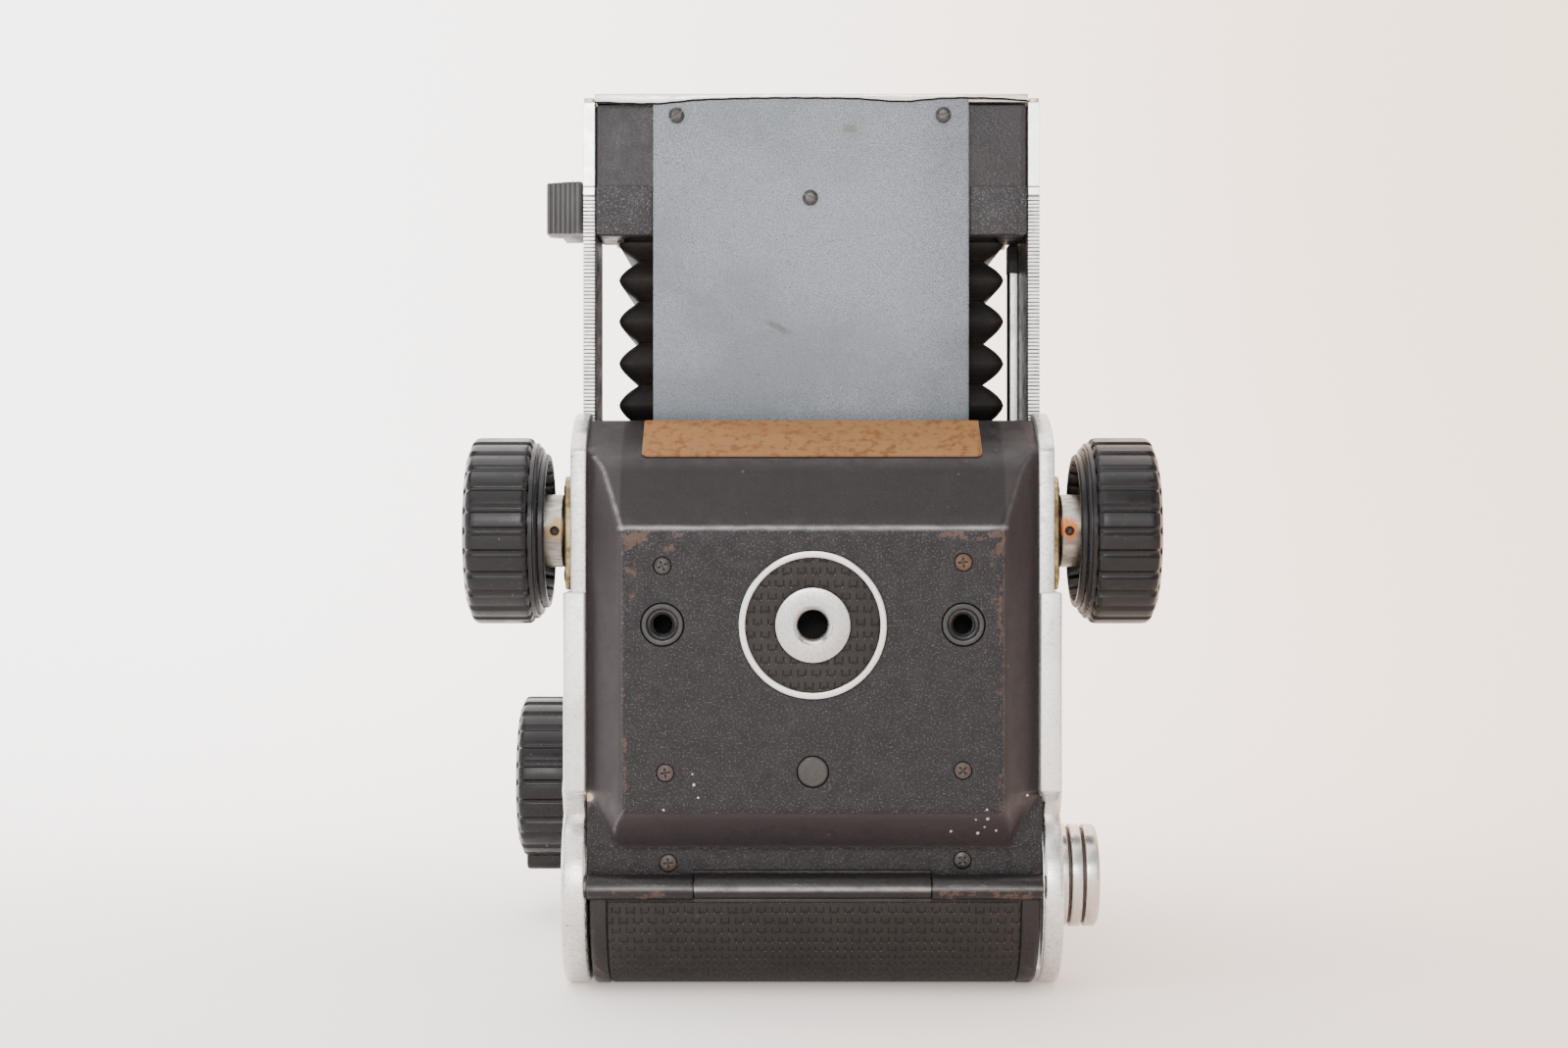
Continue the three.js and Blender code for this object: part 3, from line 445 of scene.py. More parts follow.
def add(name, verts, faces, mat, body, rep=(), slot=None, angle=38, wear=None, highlight_and_chip=None, uv=None, ride=True):
    me = raw(name, verts, faces)
    if wear is not None:
        a = me.attributes.new("wear", "FLOAT", "POINT")
        a.data.foreach_set("value", np.asarray(wear, np.float32))
    if highlight_and_chip is not None:
        a = me.attributes.new("highlight_and_chip", "FLOAT", "POINT")
        a.data.foreach_set("value", np.asarray(highlight_and_chip, np.float32))
    if uv is not None:
        layer = me.uv_layers.new(name="mm")
        idx = np.zeros(len(me.loops), np.int32)
        me.loops.foreach_get("vertex_index", idx)
        layer.data.foreach_set("uv", np.asarray(uv, np.float32)[idx].ravel())
    bm = bmesh.new()
    bm.from_mesh(me)
    bmesh.ops.recalc_face_normals(bm, faces=bm.faces)
    bm.to_mesh(me)
    bm.free()
    smooth(me, angle)
    ob = bpy.data.objects.new(name, me)
    bpy.context.scene.collection.objects.link(ob)
    me.materials.append(mat)
    if ride:
        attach(ob, body)
    if rep:
        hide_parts(*([rep] if isinstance(rep, str) else rep))
    return ob


def boolean(ob, cutters, op="DIFFERENCE", angle=38):
    objs = []
    for v, f in cutters:
        me = raw("cutter", v, f)
        bm = bmesh.new()
        bm.from_mesh(me)
        bmesh.ops.recalc_face_normals(bm, faces=bm.faces)
        bm.to_mesh(me)
        bm.free()
        c = bpy.data.objects.new("cutter", me)
        bpy.context.scene.collection.objects.link(c)
        objs.append(c)
        mod = ob.modifiers.new("cut", "BOOLEAN")
        mod.object, mod.operation, mod.solver = c, op, "EXACT"
    bpy.context.view_layer.update()
    dg = bpy.context.evaluated_depsgraph_get()
    me = bpy.data.meshes.new_from_object(ob.evaluated_get(dg), preserve_all_data_layers=True, depsgraph=dg)
    ob.modifiers.clear()
    ob.data = me
    for c in objs:
        bpy.data.objects.remove(c)
    smooth(me, angle)
    return ob


def fillet(pts, r, n=4, closed=True):
    """Rounds the corners of a 2-D polygon or line. r is one radius or one per point."""
    pts = [np.array(p, float) for p in pts]
    rs = r if isinstance(r, (list, tuple)) else [r] * len(pts)
    out = []
    N = len(pts)
    for i, p in enumerate(pts):
        if not closed and i in (0, N - 1):
            out.append(tuple(p))
            continue
        a, b = pts[i - 1], pts[(i + 1) % N]
        u, v = a - p, b - p
        lu, lv = np.linalg.norm(u), np.linalg.norm(v)
        if rs[i] <= 0 or lu < 1e-9 or lv < 1e-9:
            out.append(tuple(p))
            continue
        u, v = u / lu, v / lv
        c = float(np.clip(u @ v, -1, 1))
        half = math.acos(c) / 2
        if half > math.pi / 2 - 0.02 or half < 0.02:
            out.append(tuple(p))
            continue
        d = min(rs[i] / math.tan(half), 0.48 * lu, 0.48 * lv)
        rr = d * math.tan(half)
        centre = p + (u + v) / np.linalg.norm(u + v) * (rr / math.sin(half))
        s, e = p + u * d - centre, p + v * d - centre
        a0, a1 = math.atan2(s[1], s[0]), math.atan2(e[1], e[0])
        da = (a1 - a0 + math.pi) % (2 * math.pi) - math.pi
        for k in range(n + 1):
            t = a0 + da * k / n
            out.append((centre[0] + rr * math.cos(t), centre[1] + rr * math.sin(t)))
    return out


def inset(pts, d):
    p = np.array(pts, float)
    nxt, prv = np.roll(p, -1, 0), np.roll(p, 1, 0)
    area = 0.5 * np.sum(p[:, 0] * nxt[:, 1] - nxt[:, 0] * p[:, 1])
    e0, e1 = p - prv, nxt - p
    e0 /= np.maximum(np.linalg.norm(e0, axis=1, keepdims=True), 1e-9)
    e1 /= np.maximum(np.linalg.norm(e1, axis=1, keepdims=True), 1e-9)
    s = 1.0 if area > 0 else -1.0
    n0 = np.stack([-e0[:, 1], e0[:, 0]], 1) * s
    n1 = np.stack([-e1[:, 1], e1[:, 0]], 1) * s
    m = n0 + n1
    m /= np.maximum(np.linalg.norm(m, axis=1, keepdims=True), 1e-9)
    c = np.clip(np.sum(m * n0, axis=1, keepdims=True), 0.5, 1)
    return p + m * d / c


def place(uv, a, axis):
    u, v = uv
    return {"x": (a, u, v), "y": (u, a, v), "z": (u, v, a)}[axis]


def slab(outline, a0, a1, bevel=0.3, axis="x", n=3):
    """An outline extruded along an axis, with rounded edges at both ends. Outline is (y, z), (x, z) or (x, y)."""
    lo, hi = min(a0, a1), max(a0, a1)
    seq = [(lo + bevel * (1 - math.cos(k / n * math.pi / 2)), bevel * (1 - math.sin(k / n * math.pi / 2))) for k in range(n + 1)]
    seq += [(hi - (a - lo), d) for a, d in reversed(seq)]
    if bevel <= 0:
        seq = [(lo, 0.0), (hi, 0.0)]
    verts, faces = [], []
    N = len(outline)
    for a, d in seq:
        q = inset(outline, d) if d > 1e-9 else np.array(outline, float)
        verts += [place(p, a, axis) for p in q]
    for r in range(len(seq) - 1):
        for i in range(N):
            j = (i + 1) % N
            faces.append((r * N + i, r * N + j, (r + 1) * N + j, (r + 1) * N + i))
    faces.append(tuple(range(N))[::-1])
    faces.append(tuple((len(seq) - 1) * N + i for i in range(N)))
    return verts, faces


def lathe(profile, seg=64, axis="y", centre=(0, 0), fr=None, closed=False, phase=0.0):
    verts, faces, rings = [], [], []
    for r, a in profile:
        if r < 1e-6 and not closed:
            rings.append([len(verts)])
            verts.append({"x": (a, centre[0], centre[1]), "y": (centre[0], a, centre[1]), "z": (centre[0], centre[1], a)}[axis])
            continue
        ring = []
        for k in range(seg):
            t = phase + 2 * math.pi * k / seg
            q = r + (fr(r, a, t) if fr else 0.0)
            u, v = centre[0] + q * math.cos(t), centre[1] + q * math.sin(t)
            ring.append(len(verts))
            verts.append(place((u, v), a, axis))
        rings.append(ring)
    pairs = list(zip(rings, rings[1:] + ([rings[0]] if closed else [])))
    if not closed:
        pairs = pairs[:len(rings) - 1]
    for A, B in pairs:
        if len(A) == 1 and len(B) == 1:
            continue
        for k in range(seg):
            j = (k + 1) % seg
            if len(A) == 1:
                faces.append((A[0], B[j], B[k]))
            elif len(B) == 1:
                faces.append((A[k], A[j], B[0]))
            else:
                faces.append((A[k], A[j], B[j], B[k]))
    return verts, faces


def cyl(r, a0, a1, axis, centre, seg=48):
    return lathe([(0, a0), (r, a0), (r, a1), (0, a1)], seg, axis, centre)


def cuboid(x0, x1, y0, y1, z0, z1):
    v = [(x, y, z) for x in (x0, x1) for y in (y0, y1) for z in (z0, z1)]
    return v, [(0, 1, 3, 2), (4, 6, 7, 5), (0, 4, 5, 1), (2, 3, 7, 6), (0, 2, 6, 4), (1, 5, 7, 3)]


def join(*parts):
    V, F, k = [], [], 0
    for v, f in parts:
        V += [tuple(p) for p in v]
        F += [tuple(i + k for i in q) for q in f]
        k += len(v)
    return V, F


def arc(cy, cz, r, a0, a1, n):
    return [(cy + r * math.cos(math.radians(a0 + (a1 - a0) * i / n)), cz + r * math.sin(math.radians(a0 + (a1 - a0) * i / n))) for i in range(n + 1)]


def rect(u0, u1, v0, v1):
    return [(u0, v0), (u1, v0), (u1, v1), (u0, v1)]


def smax(a, b, k):
    h = np.maximum(k - np.abs(a - b), 0.0) / k
    return np.maximum(a, b) + h * h * k * 0.25


def smin(a, b, k):
    return -smax(-a, -b, k)


EAR0, EAR1, EARZ = 22.0, 110.0, 17.3
FY, FZ = 18.0, 80.2
AY_, AZ_ = 110.0, 28.2
TZ = 64.2

# ------------------------------------------------------------------ camera and stage
cam_data = bpy.data.cameras.new("camera")
cam = bpy.data.objects.new("camera", cam_data)
bpy.context.scene.collection.objects.link(cam)
cam.location = L(-4.9, -450.0, 81.4)
cam.rotation_euler = (math.radians(90), 0, 0)
cam_data.sensor_width, cam_data.sensor_fit, cam_data.lens = 36.0, "HORIZONTAL", 60.8
cam_data.clip_start, cam_data.clip_end = 0.01, 20
bpy.context.scene.camera = cam


def stage():
    """A pale table that turns up into a wall in one soft curve."""
    prof = [(-2500.0, 0.0), (250.0, 0.0)]
    r = 420.0
    for k in range(1, 33):
        t = k / 32 * math.pi / 2
        prof.append((250.0 + r * math.sin(t), r * (1 - math.cos(t))))
    prof.append((250.0 + r, 3000.0))
    xs = np.linspace(-2600, 2600, 9)
    v = [(x, y, z) for y, z in prof for x in xs]
    n = len(xs)
    f = [(i * n + j, i * n + j + 1, (i + 1) * n + j + 1, (i + 1) * n + j) for i in range(len(prof) - 1) for j in range(n - 1)]
    me = raw("table_and_wall", v, f)
    smooth(me, 60)
    m = Mat("pale_paper")
    x, y, _ = m.xyz()
    # painted light: the paper is painted warmer and darker towards the right, and a darker warm grey on the front of
    # the floor, as the light falls
    painted_warm_light = m.step(x, -0.22, 0.34)
    c = m.mix(painted_warm_light, (0.90, 0.885, 0.88), (0.84, 0.68, 0.57))
    painted_front_shade = m.step(y, -0.25, 0.20, 1.0, 0.0)
    c = m.mix(m.f("MULTIPLY", painted_front_shade, 0.35), c, (0.84, 0.755, 0.715))
    mt = m.set(color=c, rough=0.75, spec=0.25, normal=m.bump(m.noise(400, 3), 0.00003, 0.3))
    # painted light: the paper glows, weakly on the floor near the object and more on the far floor and wall, and dimmer
    # and warmer on the right
    m.t.links.new(m.mix(painted_warm_light, (1.0, 0.965, 0.955), (1.0, 0.74, 0.57)), m.b.inputs["Emission Color"])
    m.t.links.new(m.f("MULTIPLY", m.step(y, -0.08, 0.45, 0.34, 2.0), m.f("MULTIPLY_ADD", painted_warm_light, -0.55, 1.2)), m.b.inputs["Emission Strength"])
    me.materials.append(mt)
    ob = bpy.data.objects.new("table_and_wall", me)
    bpy.context.scene.collection.objects.link(ob)


stage()


def area(name, loc, target, size, power, color=(1, 1, 1), size_y=None):
    d = bpy.data.lights.new(name, "AREA")
    d.energy, d.color, d.shape, d.size = power, color, "RECTANGLE", size
    d.size_y = size_y or size
    o = bpy.data.objects.new(name, d)
    o.location = Vector(loc)
    o.rotation_euler = (Vector(target) - Vector(loc)).to_track_quat("-Z", "Y").to_euler()
    bpy.context.scene.collection.objects.link(o)
    return o


world = bpy.data.worlds.new("studio")
world.use_nodes = True
bg = world.node_tree.nodes["Background"]
bg.inputs[0].default_value = (1.0, 0.985, 0.975, 1)
bg.inputs[1].default_value = 0.72
bpy.context.scene.world = world
area("key_over", (-0.25, -0.55, 0.95), (0, 0, 0.08), 0.8, 4.5, (1.0, 0.99, 0.98))
area("front_wall", (-0.10, -1.45, 0.26), (0, 0, 0.08), 1.05, 9.5, (1.0, 0.985, 0.975))
area("flash", (-0.06, -1.10, 0.39), (0, 0, 0.08), 0.26, 3.6, (1.0, 0.995, 0.99))
area("fill_left", (-0.95, -0.35, 0.35), (0, 0, 0.09), 0.7, 5.0, (1.0, 0.99, 0.98))
area("fill_right", (0.95, -0.45, 0.40), (0, 0, 0.09), 0.7, 2.2, (1.0, 0.975, 0.95))
area("wall_wash", (0.0, 0.10, 0.95), (0, 0.45, 0.30), 0.9, 9.0, (1.0, 0.985, 0.975))


# ------------------------------------------------------------------ base cover
def cover_surface(X, Z):
    """Outer skin of the pressed base cover: y as a function of x and z, with its soft edges and how close each point is
    to one, giving the wear and the painted highlights.
    """
    ax = np.abs(X)
    FL = 7.0
    footx = 38.9 + np.clip((Z - 35.4) / 9.4, -1.0, 0.0) * 4.9      # where the side slope lands on the lower flange
    k = np.where(Z < 35.4, FL / np.maximum(footx - 32.5, 0.9), 1.02)
    side = (ax - 32.5) * k
    side = np.where(Z < 35.4, smin(side, np.full_like(Z, FL), 0.5), smin(side, 6.2 + 0.0 * ax, 1.2))
    low = smin((32.2 - Z) * 1.06, np.full_like(Z, FL), 0.8)
    gentle = (Z - 80.6) * 0.335
    nose = 4.3 + (Z - 93.2) * 1.72
    y = smax(np.zeros_like(Z), side, 0.9)
    y = smax(y, low, 1.0)
    g = smax(gentle, nose, 4.5)
    y = smax(y, g, 0.8)
    y = np.where(Z > 97.5, y + 0.10 * (Z - 97.5) ** 2, y)
    e = lambda d, w: np.exp(-(d / w) ** 2)
    inz = np.clip((Z - 31.5) / 1.5, 0, 1) * np.clip((82.0 - Z) / 1.5, 0, 1)
    inx = np.clip((33.5 - ax) / 1.2, 0, 1)
    wear = 0.62 * e(Z - 79.6, 0.8) * inx * np.clip((ax - 3) / 20, 0.35, 1) + 0.60 * e(ax - 31.9, 0.6) * inz + 0.25 * e(Z - 32.0, 0.6) * inx
    wear += 0.45 * e(ax - 38.5, 0.4) + 0.6 * e(Z - 20.9, 0.5) + 0.35 * e(Z - 99.5, 0.8)
    # rusted corner areas of the pad
    wear += 0.95 * e(Z - 78.4, 1.9) * np.clip((ax - 19) / 6, 0, 1) * inx * (X < 0) + 0.5 * e(Z - 79.0, 1.2) * np.clip((ax - 22) / 6, 0, 1) * inx * (X > 0)
    wear += 0.6 * e(ax - 30.6, 1.0) * e(Z - 72, 7.0) * inz
    ridge = np.abs(side - g)
    # painted highlights: a bright line along the pad's top edge, bright ridges on the left and only faint ones on the
    # right, as the light falls from the left
    highlight_and_chip = 0.95 * e(Z - 80.75, 0.30) * inx + np.where(X < 0, 0.62, 0.10) * e(ridge, 0.30) * (Z > 80.4) * (ax > 32) * (Z < 93)
    highlight_and_chip += 0.30 * e(np.abs(side - low), 0.25) * (Z < 34) * (Z > 26) * (ax > 32) * (X < 0) + 0.10 * e(ax - 32.45, 0.22) * inz
    highlight_and_chip += 0.9 * e(X + 38.4, 0.7) * e(Z - 34.4, 0.9)                        # the chip by the lower left corner
    return y, np.clip(wear, 0, 1), np.clip(highlight_and_chip, 0, 1)


def base_cover():
    nx, nz = 221, 261
    xs = np.linspace(-38.88, 38.88, nx)
    zs = np.linspace(20.5, 99.6, nz)
    X, Z = np.meshgrid(xs, zs)
    Y, W, HIGHLIGHT_CHIP = cover_surface(X, Z)
    X = X + 0.80 * np.clip((X - 36.0) / 2.88, 0, 1) * np.clip((35.2 - Z) / 0.5, 0, 1)
    back = np.maximum(Y + 1.5, 8.95)
    back = np.where(Z > 92.5, np.maximum(Y + 1.5, 8.95), back)
    top = np.stack([X, Y, Z], -1).reshape(-1, 3)
    bot = np.stack([X, back, Z], -1).reshape(-1, 3)
    n = nx * nz
    faces = []
    for j in range(nz - 1):
        for i in range(nx - 1):
            a = j * nx + i
            faces.append((a, a + 1, a + nx + 1, a + nx))
            faces.append((n + a, n + a + nx, n + a + nx + 1, n + a + 1))
    rim = [i for i in range(nx)] + [j * nx + nx - 1 for j in range(1, nz)] + [(nz - 1) * nx + i for i in range(nx - 2, -1, -1)] + [j * nx for j in range(nz - 2, 0, -1)]
    for k in range(len(rim)):
        a, b = rim[k], rim[(k + 1) % len(rim)]
        faces.append((a, n + a, n + b, b))
    wear = np.concatenate([W.ravel(), W.ravel() * 0])
    ob = add("base_cover_skin", np.vstack([top, bot]), faces, MAT_COVER, "root", rep="base_cover", slot="black_paint", wear=wear, highlight_and_chip=np.concatenate([HIGHLIGHT_CHIP.ravel(), HIGHLIGHT_CHIP.ravel() * 0]), angle=50)
    cuts = [cyl(12.78, -3, 0.55, "y", (0, TZ), 96), cyl(5.1, -3, 12, "y", (0, TZ), 64), cyl(2.78, -3, 12, "y", (0, 39.3), 48)]
    for k in (-1, 1):
        cuts.append(cyl(3.78, -3, 12, "y", (k * 25.6, 64.3), 56))
    for x, y, z in SCREWS:
        cuts.append(lathe([(0, y - 2), (1.9, y - 2), (1.60, y + 0.06), (1.60, y + 1.0), (0, y + 1.0)], 40, "y", (x, z)))
    boolean(ob, cuts, angle=50)


SCREWS = [(-25.6, 0, 74.3), (25.6, 0, 74.9), (-25.1, 0, 39.1), (25.5, 0, 39.5), (-24.9, 7, 22.9), (25.9, 7, 23.4)]
base_cover()


def cross_screw(name, x, y, z, r, turn, mat, rep, body="root", slot="screw_steel"):
    prof = fillet([(0, y + 0.02), (r * 0.55, y + 0.0), (r * 0.92, y + 0.16), (r, y + 0.34), (r, y + 0.95), (0, y + 0.95)], [0, 0.4, 0.2, 0.08, 0.05, 0], 4, closed=False)
    v, f = lathe(prof, 40, "y", (x, z))
    ob = add(name, v, f, mat, body, rep=rep, slot=slot, angle=30)
    cuts = []
    c, s = math.cos(turn), math.sin(turn)
    for a in (0, math.pi / 2):
        c, s = math.cos(turn + a), math.sin(turn + a)
        pts = [(-0.66 * r, -0.15), (0.66 * r, -0.15), (0.66 * r, 0.15), (-0.66 * r, 0.15)]
        q = [(x + u * c - w * s, z + u * s + w * c) for u, w in pts]
        q2 = [(x + u * 0.5 * c - w * s, z + u * 0.5 * s + w * c) for u, w in pts]
        V = [(p[0], y - 0.3, p[1]) for p in q] + [(p[0], y + 0.62, p[1]) for p in q2]
        cuts.append((V, [(0, 1, 2, 3), (7, 6, 5, 4), (0, 4, 5, 1), (1, 5, 6, 2), (2, 6, 7, 3), (3, 7, 4, 0)]))
    boolean(ob, cuts, angle=30)
    return ob


def slot_screw(name, x, y, z, r, turn, mat, body, rep=(), axis="y", slot="screw_steel", sign=1):
    """Domed slotted head. axis y: head faces -Y at y; axis x: head faces sign*X at y."""
    d = 1 if axis == "y" else -sign
    prof = fillet([(0, y), (r * 0.6, y + 0.03 * d), (r * 0.95, y + 0.2 * d), (r, y + 0.34 * d), (r, y + 0.6 * d), (0, y + 0.6 * d)], [0, 0.3, 0.15, 0.05, 0, 0], 4, closed=False)
    v, f = lathe(prof, 36, axis, (x, z))
    ob = add(name, v, f, mat, body, rep=rep, slot=slot, angle=30)
    c, s = math.cos(turn), math.sin(turn)
    q = [(x + u * c - w * s, z + u * s + w * c) for u, w in [(-1.3 * r, -0.15), (1.3 * r, -0.15), (1.3 * r, 0.15), (-1.3 * r, 0.15)]]
    V = [place(p, y - 0.5 * d, axis) for p in q] + [place(p, y + 0.27 * d, axis) for p in q]
    boolean(ob, [(V, [(0, 1, 2, 3), (7, 6, 5, 4), (0, 4, 5, 1), (1, 5, 6, 2), (2, 6, 7, 3), (3, 7, 4, 0)])], angle=30)
    return ob


turns = [0.45, 0.1, 0.15, 0.75, 0.1, 0.85]
for i, (x, y, z) in enumerate(SCREWS):
    cross_screw(f"cover_screw_{i + 1}", x, y, z, 1.53, turns[i], {1: MAT_SCREW_RUSTY, 2: MAT_SCREW_BROWN, 3: MAT_SCREW_BROWN, 4: MAT_SCREW_BROWN}.get(i, MAT_SCREW), f"base_screw_{i + 1}")

# tripod socket: bush with its thread, leather washer and ring
thread = []
y = 7.4
while y > 0.9:
    thread += [(2.62, y), (3.05, y - 0.6)]
    y -= 1.27
prof = [(4.85, 0.45), (4.85, 7.5), (2.62, 7.5)] + thread[0:] + [(2.62, 0.35), (3.25, -0.42)] + fillet([(3.25, -0.42), (3.4, -0.48), (6.32, -0.48), (6.4, -0.38), (6.4, 0.45)], [0, 0.05, 0.08, 0.05, 0], 2, closed=False)[1:]
v, f = lathe(prof, 96, "y", (0, TZ), closed=True)
add("tripod_socket", v, f, MAT_DISC, "root", rep="tripod_bush", slot="satin_aluminium", angle=30)
v, f = lathe(fillet([(11.5, 0.5), (11.5, -0.25), (11.65, -0.38), (12.4, -0.38), (12.6, -0.2), (12.6, 0.5)], [0, 0.1, 0.1, 0.15, 0.1, 0], 3), 128, "y", (0, TZ), closed=True)
add("socket_ring", v, f, MAT_TURNED, "root", rep="tripod_ring", slot="satin_aluminium", angle=40)
v, f = lathe([(6.5, 0.45), (6.5, 0.02), (6.7, -0.04), (8, -0.05), (9.5, -0.05), (11.2, -0.04), (11.42, 0.02), (11.42, 0.45)], 96, "y", (0, TZ), closed=True)
add("socket_leather", v, f, MAT_LEATHER, "root", rep="tripod_leather", slot="leatherette", uv=[(p[0] + 0.6, p[2] - TZ + 100.4) for p in v])

# accessory bushes: dark threaded collars with a fine gap round them
for k, nm in ((-1, "left"), (1, "right")):
    inner = []
    y = 5.0
    while y > 1.2:
        inner += [(1.72, y), (2.1, y - 0.3)]
        y -= 0.6
    prof = [(3.62, 0.1), (3.62, 5.5), (1.72, 5.5)] + inner + [(1.9, 1.1), (2.1, 0.75), (2.5, 0.62), (2.62, 0.1)] + fillet([(2.62, 0.1), (2.8, -0.12), (3.45, -0.15), (3.62, 0.1)], [0, 0.1, 0.12, 0], 3, closed=False)[1:-1]
    v, f = lathe(prof, 64, "y", (k * 25.6, 64.3), closed=True)
    add(f"accessory_socket_{nm}", v, f, MAT_BUSH, "root", rep=f"accessory_bush_{nm}", slot="screw_steel", angle=30)
v, f = lathe(fillet([(0, -0.12), (2.3, -0.14), (2.62, 0.12), (2.66, 2.5), (0, 2.5)], [0, 0.2, 0.15, 0, 0], 3, closed=False), 48, "y", (0, 39.3))
ob = add("base_plug_cap", v, f, MAT_SCREW, "root", rep="base_plug", slot="black_paint", angle=35)

# blank nameplate on the nose, no lettering
d, n_ = np.array([0.8668, 0.4987]), np.array([-0.4987, 0.8668])
sl = [fillet(rect(-29.35, 29.2, -0.45, 12.2), [1.1, 1.1, 0.3, 0.3], 6)]
v0, f0 = slab(sl[0], 0.0, 0.45, 0.12, "z", 2)
pv, wear = [], []
for (u, t, h) in v0:
    yb, zb = 4.55 + 0.503 * t * 1.72, 93.1 + 0.503 * t
    base_y, _, _ = cover_surface(np.array([[0.0]]), np.array([[zb]]))
    q = np.array([float(base_y[0, 0]), zb]) + n_ * (h + 0.02)
    pv.append((u, q[0], q[1]))
    wear.append(1.0 if (t < 0.0 or abs(u) > 29.0) else 0.0)
add("nameplate_blank", pv, f0, MAT_TAN, "root", rep="nameplate", slot="tan_plate", angle=30, wear=wear)


# ------------------------------------------------------------------ side plates and covers
def side_outline(front, i=0.0, n=16):
    return front + [(140 - i, 101 - i), (140 - i, 33.5 + i), (127.2 - i, 33.5 + i)] + arc(EAR1, EARZ, 17.2 - i, 0, -90, n) + arc(EAR0, EARZ, 17.2 - i, 270, 112, n)


for k, nm in ((-1, "left"), (1, "right")):
    front = fillet([(4.6, 33.5), (4.6, 94.3), (8, 97.3), (13, 99.6), (19, 101), (60, 101)], [0.0, 2.0, 6, 8, 8, 0], 5, closed=False)[:-1]
    front[0] = (5.2, 35.0)
    pl = side_outline(front, 0.35)
    v, f = slab(pl, k * 38.9, k * 41.6, 0.28, "x", 3)
    ob = add(f"frame_plate_{nm}", v, f, MAT_ALU_EDGE, "root", rep=f"side_plate_{nm}", slot="satin_aluminium", angle=32)
    cuts = [slab(fillet([(21.3, 24), (37.6, 24), (37.6, 115), (21.3, 115)], [0.4, 0.4, 0, 0], 3), k * 36, k * 41.0, 0.0, "x", 1),
            cyl(4.9, k * 36, k * 41.0, "x", (FY, FZ), 40), cyl(2.3, k * 36, k * 45, "x", (FY, FZ), 32)]
    cuts += [cyl(3.2, 36, 45, "x", (yy, EARZ), 32) for yy in (EAR0, EAR1)] if k > 0 else [cyl(2.3, -45, -36, "x", (AY_, AZ_), 32)]
    if k > 0:
        cuts.append(slab([(-5, -5), (12, -5), (12, 35.6), (-5, 35.6)], 36, 39.75, 0.0, "x", 1))
    boolean(ob, cuts, angle=32)
    # the cast cover: a bright front bar above, then a rounded ear that stands a little further out
    def cover_piece(nm_, outline, x0, x1, bev, rep_):
        v, f = slab(outline, k * x0, k * x1, bev, "x", 5)
        ob = add(nm_, v, f, MAT_ALU if rep_ else MAT_ALU_EAR, "root", rep=rep_, slot="satin_aluminium", angle=32)
        cuts = [slab(fillet([(21.3, 24), (37.6, 24), (37.6, 115), (21.3, 115)], [0.4, 0.4, 0, 0], 3), k * 36, k * 41.0, 0.0, "x", 1)]
        cuts += [cyl(3.2, 36, 46, "x", (yy, EARZ), 32) for yy in (EAR0, EAR1)] if k > 0 else [cyl(2.3, -46, -36, "x", (AY_, AZ_), 32)]
        boolean(ob, cuts, angle=32)
    ix = 38.95 if k < 0 else 39.0
    bar = fillet([(4.35, 35.5), (4.35, 69.7), (42, 69.7), (42, 100.9), (139.9, 100.9), (139.9, 35.4), (14.5, 31.5)], [0.5, 0.5, 2.0, 1.2, 1.0, 1.0, 0.0], 4)
    cover_piece(f"outer_cover_{nm}", bar, ix, 42.85, 0.5, f"side_cover_{nm}")
    ear = [(140.0, 36.5), (140.0, 33.5), (127.2, 33.5)] + arc(EAR1, EARZ, 17.2, 0, -90, 26) + arc(EAR0, EARZ, 17.2, 270, 128, 40) + [(10.2, 32.6), (8.4, 35.0), (9.6, 37.5), (20.0, 38.4)]
    cover_piece(f"outer_ear_{nm}", ear, ix if k < 0 else 39.8, 43.35, 0.75, ())
    # leather panel with a rounded edge
    o = fillet([(47, 34), (135, 34), (135, 97), (47, 97)], 2.5, 6)
    v, f = slab(o, k * 42.7, k * 43.7, 0.2, "x", 3)
    add(f"leather_panel_{nm}", v, f, MAT_LEATHER, "root", rep=f"side_leather_{nm}", slot="leatherette", uv=[(p[1] * k, p[2] + 100) for p in v])
    # bearing flange of the focusing shaft with its two screws
    o = fillet([(12, 72), (14.5, 69.8), (21.5, 69.8), (24, 72), (24, 87.6), (21.5, 89.8), (14.5, 89.8), (12, 87.6)], 2.0, 5)
    v, f = slab(o, k * 41.72, k * 43.2, 0.3, "x", 3)
    ob = add(f"bearing_flange_{nm}", v, f, MAT_FLANGE, "root", rep=f"shaft_flange_{nm}", slot="steel", angle=32)
    boolean(ob, [cyl(2.3, k * 36, k * 45, "x", (FY, FZ), 32)], angle=32)
    for j, zz in enumerate((72.4, 87.2)):
        slot_screw(f"flange_screw_{nm}_{j + 1}", FY, k * 43.75, zz, 1.45, 0.5 + j, MAT_SCREW_YELLOW, "root", axis="x", sign=k)

# ------------------------------------------------------------------ back door and hinge
def wrap_stations(a0=181.2, z_end=28.0, n=26):
    st, s = [], 0.0
    def put(c, a, s):
        st.append((c[0], c[1], math.cos(math.radians(a)), math.sin(math.radians(a)), s))
    for i in range(n + 1):
        put((EAR0, EARZ), a0 + (270 - a0) * i / n, math.radians((270 - a0) * i / n) * 17.2)
    s = math.radians(270 - a0) * 17.2
    for i in range(1, 12):
        put((EAR0 + 88 * i / 12, EARZ), 270, s + 88 * i / 12)
    s += 88
    for i in range(n + 1):
        put((EAR1, EARZ), 270 + 90 * i / n, s + math.radians(90 * i / n) * 17.2)
    s += math.radians(90) * 17.2
    for i in range(1, 5):
        put((EAR1, EARZ + (z_end - EARZ) * i / 4), 360, s + (z_end - EARZ) * i / 4)
    return st


